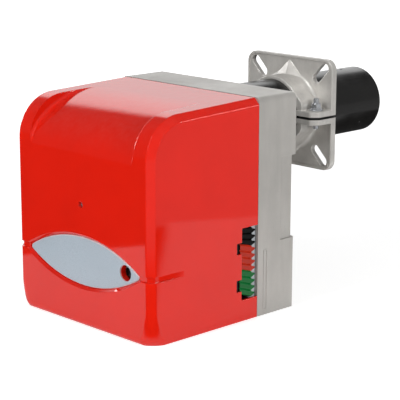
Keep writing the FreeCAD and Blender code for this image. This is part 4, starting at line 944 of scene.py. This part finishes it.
@dataclass
class Studio:
    """White table in a plain room, with soft lamps round it.

    The camera sees white everywhere. Shiny faces see the table up to its edges, the grey floor
    beyond them, and the white wall behind.
    """

    floor_z: float = -0.235
    floor_radius: float = 14.0
    floor_sides: int = 64
    floor_white: Colour = (0.8, 0.8, 0.8)
    table_across: Point = (0.89, 0.46, 0.0)
    table_ahead: Point = (0.71, -0.70, 0.0)
    table_half: float = 0.54
    table_front: float = 0.375
    table_back: float = -0.1
    table_soft: float = 0.01
    table_glow: float = 0.25
    backdrop_glow: float = 0.6
    backdrop_rise: float = 0.42
    backdrop_reach: tuple[float, float] = (0.6, 2.4)
    grey_glow: float = 0.42
    grey_side: tuple[float, float] = (0.0, 0.16)
    grey_ahead: tuple[float, float] = (0.6, 0.9)
    grey_soft: float = 0.04
    dark_glow: float = 0.05
    room_light: float = 0.37
    room_mirrored: float = 0.13
    wall_way: Point = (-0.7, 0.7, 0.0)
    wall_edge: tuple[float, float] = (0.45, 0.7)
    wall_top: float = 0.53
    wall_soft: float = 0.07
    wall_heights: tuple[float, float] = (0.2, 0.5)
    wall_glow: tuple[float, float] = (0.98, 1.8)
    side_edge: tuple[float, float] = (0.0, 0.5)
    side_glow: float = 0.2
    lamps: tuple[SoftBox, ...] = (
        SoftBox("front", FRONT, 0.5, 1.8, 38.0, shines=False),
        SoftBox("right", RIGHT, 0.5, 1.1, 34.0, shines=False),
        SoftBox("left", (-2.6, -0.3, 0.5), 0.3, 0.9, 9.0),
        SoftBox("front_sheen", FRONT, 0.8, 1.8, 14.0, lights=False),
        SoftBox("right_sheen", RIGHT, 0.5, 1.2, 6.0, lights=False),
        SoftBox("front_strip", FRONT, 0.7, 1.7, 48.0, lights=False, only=("cover",)),
        SoftBox("right_strip", RIGHT, 0.4, 1.1, 12.0, lights=False, only=("cover",)),
        SoftBox("back_strip", (1.8, 1.36, 0.54), 0.8, 0.22, 8.0, lights=False, only=("cover",)),
        SoftBox("flange_top", (0.3, -1.9, 1.9), 0.4, 0.6, 11.0, only=FLANGE),
    )

    def build(self) -> None:
        """Make floor, lamps and room."""
        self.make_floor()
        for lamp in self.lamps:
            lamp.build()
        self.make_room()
        bpy.context.scene.view_settings.view_transform = "Standard"

    def make_floor(self) -> None:
        """Round floor that shows white to the camera and keeps the object's shadow."""
        angles = [2 * math.pi * index / self.floor_sides for index in range(self.floor_sides)]
        reach = self.floor_radius
        ring = [(reach * math.cos(angle), reach * math.sin(angle), self.floor_z) for angle in angles]
        mesh = bpy.data.meshes.new("floor")
        mesh.from_pydata(ring, [], [list(range(self.floor_sides))])
        floor = bpy.data.objects.new("floor", mesh)
        bpy.context.scene.collection.objects.link(floor)
        material = bpy.data.materials.new("studio_floor")
        board = open_board(material, "ShaderNodeOutputMaterial")
        place = board.place()
        distance = board.node("ShaderNodeVectorMath", {0: place}, operation="LENGTH").outputs["Value"]
        rise = board.product(board.ease(distance, *self.backdrop_reach), self.backdrop_rise)
        table = self.matt(board, self.table_glow)
        backdrop = self.matt(board, board.math("ADD", rise, self.backdrop_glow))
        mirrored = board.choose(self.table_mask(board, place), self.beyond(board, place), table)
        board.give({"Surface": self.by_ray(board, table, mirrored, backdrop)})
        mesh.materials.append(material)

    def by_ray(self, board: Board, light: Socket, mirrored: Socket, seen: Socket) -> Socket:
        """Shader that differs with the kind of ray that meets it.

        Args:
            board: Board of the floor or the room.
            light: What matt faces are lit by.
            mirrored: What shiny faces show.
            seen: What the camera sees.

        Returns:
            The joined shader.
        """
        rays = board.node("ShaderNodeLightPath").outputs
        straight = board.math("MAXIMUM", rays["Is Camera Ray"], rays["Is Transmission Ray"])
        return board.choose(straight, board.choose(rays["Is Glossy Ray"], light, mirrored), seen)

    def matt(self, board: Board, strength: Any) -> Socket:
        """White floor that keeps shadows, with a glow of its own.

        Args:
            board: Board of the floor.
            strength: Strength of the glow.

        Returns:
            The shader.
        """
        white = board.node("ShaderNodeBsdfDiffuse", {"Color": self.floor_white})
        glow = board.node("ShaderNodeEmission", {"Color": WHITE, "Strength": strength})
        return board.node("ShaderNodeAddShader", {0: white.outputs[0], 1: glow.outputs[0]}).outputs[0]

    def table_mask(self, board: Board, place: Socket) -> Socket:
        """Find the table.

        Args:
            board: Board of the floor.
            place: Coordinates on the floor.

        Returns:
            1 on the table and 0 beyond its edges.
        """
        across, ahead = board.along(place, self.table_across), board.along(place, self.table_ahead)
        half, soft = self.table_half, self.table_soft
        return board.product(
            board.ease(across, -half - soft, -half + soft),
            board.ease(across, half + soft, half - soft),
            board.ease(ahead, self.table_front + soft, self.table_front - soft),
            board.ease(ahead, self.table_back - soft, self.table_back + soft),
        )

    def beyond(self, board: Board, place: Socket) -> Socket:
        """Light the floor beyond the table: grey to the right and far ahead, nearly black elsewhere.

        Args:
            board: Board of the floor.
            place: Coordinates on the floor.

        Returns:
            The shader.
        """
        side = board.ease(board.along(place, TO_RIGHT), *self.grey_side)
        far = board.product(board.ease(board.along(place, self.table_ahead), *self.grey_ahead), side)
        across, half = board.along(place, self.table_across), self.table_half
        grey = board.math("MAXIMUM", far, board.ease(across, half - self.grey_soft, half))
        strength = board.math("ADD", board.product(grey, self.grey_glow), self.dark_glow)
        return board.node("ShaderNodeEmission", {"Color": WHITE, "Strength": strength}).outputs[0]

    def make_room(self) -> None:
        """White to the camera, even light on the object, and a white wall behind for shiny faces."""
        world = bpy.data.worlds.new("room")
        bpy.context.scene.world = world
        board = open_board(world, "ShaderNodeOutputWorld")
        around = board.node("ShaderNodeTexCoord").outputs["Generated"]
        height = board.along(around, UPWARD)
        wall = board.product(
            board.ease(board.along(around, self.wall_way), *self.wall_edge),
            board.ease(height, self.wall_top + self.wall_soft, self.wall_top),
            board.remap(height, *self.wall_heights, *self.wall_glow),
        )
        sides = board.product(board.ease(board.along(around, TO_RIGHT), *self.side_edge), self.side_glow)
        mirrored = board.math("ADD", board.math("MAXIMUM", wall, sides), self.room_mirrored)
        glows = [self.glow(board, strength) for strength in (self.room_light, mirrored, 1.0)]
        board.give({"Surface": self.by_ray(board, *glows)})

    def glow(self, board: Board, strength: Any) -> Socket:
        """White background light of one strength."""
        return board.node("ShaderNodeBackground", {"Color": WHITE, "Strength": strength}).outputs[0]


class Growth(Group):
    """Geometry Nodes tree that makes one kind of small piece."""

    tree_type = "GeometryNodeTree"
    shared = {"Geometry": Kind.SHAPE, "Material": Kind.FINISH}
    outputs = {"Geometry": Kind.SHAPE}

    def fill(self, board: Board) -> None:
        """Make the shape real and give it its material.

        Args:
            board: Board of the tree.
        """
        real = board.node("GeometryNodeRealizeInstances", {0: self.shape(board)}).outputs[0]
        dressed = {"Geometry": real, "Material": board.given("Material")}
        board.give({"Geometry": board.node("GeometryNodeSetMaterial", dressed).outputs[0]})

    def shape(self, board: Board) -> Socket:
        """Add the tree's own nodes and return their geometry."""
        raise NotImplementedError

    def placed(self, board: Board, shape: Socket) -> Socket:
        """Shape turned and moved to its place on the burner."""
        values = {"Geometry": shape, "Translation": board.given("Place"), "Rotation": board.given("Turn")}
        return board.node("GeometryNodeTransform", values).outputs[0]

    def grow(self, name: str, finish: Finish, values: dict[str, Any]) -> bpy.types.Object:
        """Make one plain mesh piece from the tree.

        Args:
            name: Name of the piece.
            finish: Its finish.
            values: Input values by name.

        Returns:
            A mesh object at the origin with its place in its mesh.
        """
        tree = self.tree()
        keys = {item.name: item.identifier for item in tree.interface.items_tree if item.in_out == "INPUT"}
        seed = bpy.data.objects.new(name + "_seed", bpy.data.meshes.new(name + "_seed"))
        bpy.context.scene.collection.objects.link(seed)
        modifier = seed.modifiers.new("growth", "NODES")
        modifier.node_group = tree
        for key, value in (values | {"Material": finish.material()}).items():
            modifier[keys[key]] = value
        seed.update_tag()
        bpy.context.view_layer.update()
        mesh = bpy.data.meshes.new_from_object(seed.evaluated_get(bpy.context.evaluated_depsgraph_get()))
        bpy.data.objects.remove(seed)
        mesh.name = name
        mesh.materials.clear()
        mesh.materials.append(finish.material())
        piece = bpy.data.objects.new(name, mesh)
        bpy.context.scene.collection.objects.link(piece)
        return piece


class ThreadGrowth(Growth):
    """Screw thread: a four-sided ridge wound round a bolt."""

    name = "screw_thread"
    inputs = {
        "Radius": 0.004,
        "Turns": 4.0,
        "Length": 0.005,
        "Ridge": 0.0005,
        "Place": ORIGIN,
        "Turn": ORIGIN,
    }
    steps_per_turn: ClassVar[int] = 28
    ridge_sides: ClassVar[int] = 4

    def shape(self, board: Board) -> Socket:
        """Wind a spiral, run a ridge along it and put it on its bolt.

        Args:
            board: Board of the tree.

        Returns:
            The thread.
        """
        winding = {
            "Resolution": self.steps_per_turn,
            "Rotations": board.given("Turns"),
            "Start Radius": board.given("Radius"),
            "End Radius": board.given("Radius"),
            "Height": board.given("Length"),
        }
        spiral = board.node("GeometryNodeCurveSpiral", winding).outputs[0]
        ring = {"Resolution": self.ridge_sides, "Radius": board.given("Ridge")}
        section = board.node("GeometryNodeCurvePrimitiveCircle", ring).outputs[0]
        sweep = {"Curve": spiral, "Profile Curve": section, "Fill Caps": True}
        return self.placed(board, board.node("GeometryNodeCurveToMesh", sweep).outputs[0])


class ScrewRowGrowth(Growth):
    """Row of pan-head screws with crossed recesses."""

    name = "screw_row"
    inputs = {
        "Radius": 0.003,
        "Rise": 0.002,
        "Count": 2,
        "Place": ORIGIN,
        "Step": ORIGIN,
        "Turn": (QUARTER_TURN, 0.0, 0.0),
    }
    sides: ClassVar[int] = 24
    crown_share: ClassVar[float] = 0.7
    cross_share: ClassVar[tuple[float, float]] = (1.1, 0.24)

    def shape(self, board: Board) -> Socket:
        """Cut a cross into one head and repeat it along a line.

        Args:
            board: Board of the tree.

        Returns:
            The row of heads.
        """
        radius, rise = board.given("Radius"), board.given("Rise")
        crown = board.product(radius, self.crown_share)
        cone = {"Vertices": self.sides, "Radius Top": crown, "Radius Bottom": radius, "Depth": rise}
        head = board.node("GeometryNodeMeshCone", cone).outputs[0]
        long, thin = (board.product(radius, share) for share in self.cross_share)
        bars = board.node("GeometryNodeJoinGeometry")
        for across, along in ((long, thin), (thin, long)):
            size = board.node("ShaderNodeCombineXYZ", {0: across, 1: along, 2: rise}).outputs[0]
            board.put(bars.inputs[0], board.node("GeometryNodeMeshCube", {"Size": size}).outputs[0])
        lift = board.node("ShaderNodeCombineXYZ", {2: rise}).outputs[0]
        raised = {"Geometry": bars.outputs[0], "Translation": lift}
        cutter = board.node("GeometryNodeTransform", raised).outputs[0]
        screw = board.node("GeometryNodeMeshBoolean", {"Mesh 1": head, "Mesh 2": cutter}).outputs[0]
        names = {"Count": "Count", "Start Location": "Place", "Offset": "Step"}
        ends = {key: board.given(name) for key, name in names.items()}
        line = board.node("GeometryNodeMeshLine", ends).outputs[0]
        row = {"Points": line, "Instance": screw, "Rotation": board.given("Turn")}
        return board.node("GeometryNodeInstanceOnPoints", row).outputs[0]


class BootGrowth(Growth):
    """Ribbed rubber boot, or a cable gland, as a stack of rings that get smaller."""

    name = "ribbed_boot"
    inputs = {
        "Wide": 0.005,
        "Narrow": 0.003,
        "Length": 0.01,
        "Ribs": 4,
        "Sides": 24,
        "Place": ORIGIN,
        "Turn": ORIGIN,
    }
    chamfer_share: ClassVar[float] = 0.82
    lap_share: ClassVar[float] = 1.15

    def shape(self, board: Board) -> Socket:
        """Repeat a chamfered ring along a line and scale each one.

        Args:
            board: Board of the tree.

        Returns:
            The boot.
        """
        wide, narrow, ribs = (board.given(name) for name in ("Wide", "Narrow", "Ribs"))
        pitch = board.math("DIVIDE", board.given("Length"), ribs)
        cone = {
            "Vertices": board.given("Sides"),
            "Radius Top": self.chamfer_share,
            "Radius Bottom": 1.0,
            "Depth": board.product(pitch, self.lap_share),
        }
        ring = board.node("GeometryNodeMeshCone", cone).outputs[0]
        step = board.node("ShaderNodeCombineXYZ", {2: pitch}).outputs[0]
        line = board.node("GeometryNodeMeshLine", {"Count": ribs, "Offset": step}).outputs[0]
        index = board.node("GeometryNodeInputIndex").outputs[0]
        last = board.math("MAXIMUM", board.math("SUBTRACT", ribs, 1.0), 1.0)
        narrowing = board.product(board.math("DIVIDE", index, last), board.math("SUBTRACT", narrow, wide))
        width = board.math("ADD", wide, narrowing)
        size = board.node("ShaderNodeCombineXYZ", {0: width, 1: width, 2: 1.0}).outputs[0]
        stack = {"Points": line, "Instance": ring, "Scale": size}
        return self.placed(board, board.node("GeometryNodeInstanceOnPoints", stack).outputs[0])


THREAD = ThreadGrowth()
SCREW_ROW = ScrewRowGrowth()
BOOT = BootGrowth()


@dataclass
class Assembly:
    """Nodes that are dressed together, and the new small pieces, which ride on its body."""

    body: str = "burner"
    looks: ClassVar[dict[Finish, tuple[str, ...]]] = {}

    def build(self) -> list[str]:
        """Names of the new pieces: none where the assembly is whole in the frame."""
        return []

    def dress(self) -> list[str]:
        """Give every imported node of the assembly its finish.

        Returns:
            Names of the nodes.
        """
        for finish, names in self.looks.items():
            for name in names:
                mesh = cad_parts[name].data
                mesh.materials.clear()
                mesh.materials.append(finish.material())
                for polygon in mesh.polygons:
                    polygon.material_index = 0
        return [name for names in self.looks.values() for name in names]

    def add(self, growth: Growth, name: str, finish: Finish, **values: Any) -> str:
        """Grow one piece and hand it to its body.

        Args:
            growth: Tree that makes the shape.
            name: Name of the piece.
            finish: Its finish.
            **values: Inputs of the tree by name.

        Returns:
            Name of the new piece.
        """
        piece = growth.grow(name, finish, values)
        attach(piece, self.body)
        return name


@dataclass
class CoverAssembly(Assembly):
    """Lift-off cover with its bare label plate and its screw."""

    looks = {RED_COVER: ("cover",), LABEL: ("label_plate",), ZINC_FASTENER: ("cover_screw",)}


@dataclass
class HousingAssembly(Assembly):
    """Cast fan housing with its plate, scroll, inlet and damper."""

    looks = {
        CAST_HOUSING: ("housing",),
        CAST_PLAIN: ("volute",),
        ZINC_SHEET: ("component_plate", "inlet_nozzle", "air_damper", "fan_wheel"),
        ZINC_FASTENER: ("panel_screws", "cover_stud", "cap_screws", "port_plugs"),
        BLACK_PLASTIC: ("damper_lever",),
    }


@dataclass
class FlangeAssembly(Assembly):
    """Blast tube and split clamp flange with its studs."""

    looks = {
        FLANGE_CAST: ("flange_upper", "flange_lower"),
        ZINC_FASTENER: ("clamp_bolts",),
        BLACK_TUBE: ("blast_tube",),
        HEAT_STEEL: ("head_cone",),
    }
    body: str = "clamp_flange"
    stud_x: float = 66.0 * MM
    stud_y: float = -24.5 * MM
    upper_thread: tuple[float, float] = (20.0 * MM, 25.4 * MM)
    lower_thread: tuple[float, float] = (-16.2 * MM, -9.9 * MM)
    thread_radius: float = 3.9 * MM
    thread_ridge: float = 0.42 * MM
    pitch: float = 1.25 * MM

    def build(self) -> list[str]:
        """Cut threads on the free ends of both clamp studs.

        Returns:
            Names of the thread pieces.
        """
        names = []
        for side, word in ((-1, "left"), (1, "right")):
            for level, (low, high) in (("upper", self.upper_thread), ("lower", self.lower_thread)):
                sizes = {"Radius": self.thread_radius, "Ridge": self.thread_ridge, "Length": high - low}
                place = (side * self.stud_x, self.stud_y, low)
                turns = (high - low) / self.pitch
                name = f"clamp_thread_{level}_{word}"
                names.append(self.add(THREAD, name, ZINC_FASTENER, Turns=turns, Place=place, **sizes))
        return names


@dataclass
class MotorAssembly(Assembly):
    """Motor, fan shaft and coupling."""

    looks = {
        MOTOR_PAINT: ("motor_shell",),
        CAST_PLAIN: ("motor_shields",),
        LAMINATED: ("stator", "rotor_core"),
        WINDING: ("windings",),
        CORE_STEEL: ("motor_bearings", "motor_shaft", "pump_gear"),
        CAPACITOR_PLASTIC: ("capacitor",),
        COUPLING_PLASTIC: ("pump_coupling",),
    }
    axis_x: float = -45.0 * MM
    axis_z: float = -138.0 * MM
    shield_face: float = -300.9 * MM
    screw_offset: float = 26.0 * MM
    screw_radius: float = 3.4 * MM
    screw_rise: float = 2.6 * MM

    def build(self) -> list[str]:
        """Put the through-bolts' heads on the front end shield, in two rows.

        Returns:
            Names of the two rows.
        """
        reach = self.screw_offset
        sizes = {"Radius": self.screw_radius, "Rise": self.screw_rise, "Step": (2 * reach, 0.0, 0.0)}
        names = []
        for word, level in (("lower", -reach), ("upper", reach)):
            place = (self.axis_x - reach, self.shield_face, self.axis_z + level)
            names.append(self.add(SCREW_ROW, f"shield_screws_{word}", ZINC_FASTENER, Place=place, **sizes))
        return names


@dataclass
class PumpAssembly(Assembly):
    """Oil pump with its valve, screw and pipe."""

    looks = {
        PUMP_CAST: ("pump_body", "pump_cover"),
        BRASS: ("pressure_screw", "valve_stem", "pump_nut", "elbow_nut"),
        CORE_STEEL: ("valve_plunger",),
        BLACK_PLASTIC: ("valve_coil",),
        COPPER_PIPE: ("oil_pipe",),
    }


@dataclass
class ControlAssembly(Assembly):
    """Control unit, coded sockets, transformer and leads."""

    looks = {
        BLACK_SOCKET: ("socket_black",),
        RED_SOCKET: ("socket_red",),
        GREEN_SOCKET: ("socket_green",),
        BASE_PLASTIC: ("control_base",),
        CONTROL_PLASTIC: ("control_unit",),
        BUTTON: ("reset_button",),
        BLACK_PLASTIC: ("photocell",),
        TRANSFORMER_RESIN: ("transformer",),
        CERAMIC: ("ht_terminals",),
        LEAD_SILICONE: ("ignition_leads",),
        LEAD_BLACK: ("wiring",),
    }
    rise_share: float = 0.7
    transformer_radius: float = 2.8 * MM
    transformer_screw: Point = mm(-91.0, -209.8, -64.0)
    transformer_pitch: float = 103.6 * MM
    control_radius: float = 2.3 * MM
    control_screw: Point = mm(110.0, -317.8, -192.0)
    towers: tuple[Point, ...] = (mm(-49.6, -246.0, 24.0), mm(-49.6, -232.0, 2.0))
    boot: tuple[float, ...] = mm(5.6, 3.4, 10.0)
    boot_ribs: int = 5
    boot_sides: int = 24
    outlets: tuple[Point, ...] = (mm(101.0, -229.0, -108.2), mm(84.0, -224.0, -108.2))
    gland: tuple[float, ...] = mm(4.6, 3.4, 6.0)
    gland_ribs: int = 2
    gland_sides: int = 6

    def build(self) -> list[str]:
        """Add the fixing screws, the boots of the ignition leads and the glands of the base.

        Returns:
            Names of the new pieces.
        """
        pair = {"Count": 2, "Step": (0.0, 0.0, self.transformer_pitch)}
        radius, place = self.transformer_radius, self.transformer_screw
        names = [self.add_screws("transformer_screws", radius, place, pair)]
        names.append(self.add_screws("control_screw", self.control_radius, self.control_screw, {"Count": 1}))
        for index, place in enumerate(self.towers):
            shape = {"Ribs": self.boot_ribs, "Sides": self.boot_sides, "Turn": (0.0, QUARTER_TURN, 0.0)}
            names.append(self.add_boot(f"lead_boot_{index}", self.boot, place, shape))
        for index, place in enumerate(self.outlets):
            shape = {"Ribs": self.gland_ribs, "Sides": self.gland_sides}
            names.append(self.add_boot(f"base_gland_{index}", self.gland, place, shape))
        return names

    def add_screws(self, name: str, radius: float, place: Point, row: dict[str, Any]) -> str:
        """Screws that face the cover, given their radius, first place and row."""
        values = {"Radius": radius, "Rise": self.rise_share * radius, "Place": place}
        return self.add(SCREW_ROW, name, ZINC_FASTENER, **(values | row))

    def add_boot(self, name: str, size: tuple[float, ...], place: Point, shape: dict[str, Any]) -> str:
        """Boot or gland round a lead, given its wide radius, narrow radius and length."""
        values = dict(zip(("Wide", "Narrow", "Length"), size))
        return self.add(BOOT, name, LEAD_BLACK, Place=place, **(values | shape))


@dataclass
class HeadAssembly(Assembly):
    """Combustion head inside the blast tube and the plate that carries it."""

    looks = {
        CAST_PLAIN: ("head_plate",),
        BRIGHT_STEEL: ("nozzle_pipe",),
        BRASS: ("nozzle_holder", "nozzle", "adjusting_screw"),
        HEAT_STEEL: ("diffuser_disc", "centring_star", "electrode_wires", "electrode_clamp"),
        CERAMIC: ("electrode_insulators",),
    }


ASSEMBLIES = (
    CoverAssembly,
    HousingAssembly,
    FlangeAssembly,
    MotorAssembly,
    PumpAssembly,
    ControlAssembly,
    HeadAssembly,
)


def main() -> None:
    """Build and dress every sub-assembly in order, and report each piece."""
    logging.basicConfig(level=logging.INFO, format="%(name)s: %(message)s")
    PhotoCamera().build()
    Studio().build()
    for kind in ASSEMBLIES:
        assembly = kind()
        for name in assembly.build():
            LOG.info("%s: added %s on %s", kind.__name__, name, assembly.body)
        for name in assembly.dress():
            LOG.info("%s: dressed %s", kind.__name__, name)


if __name__ == "__main__":
    main()
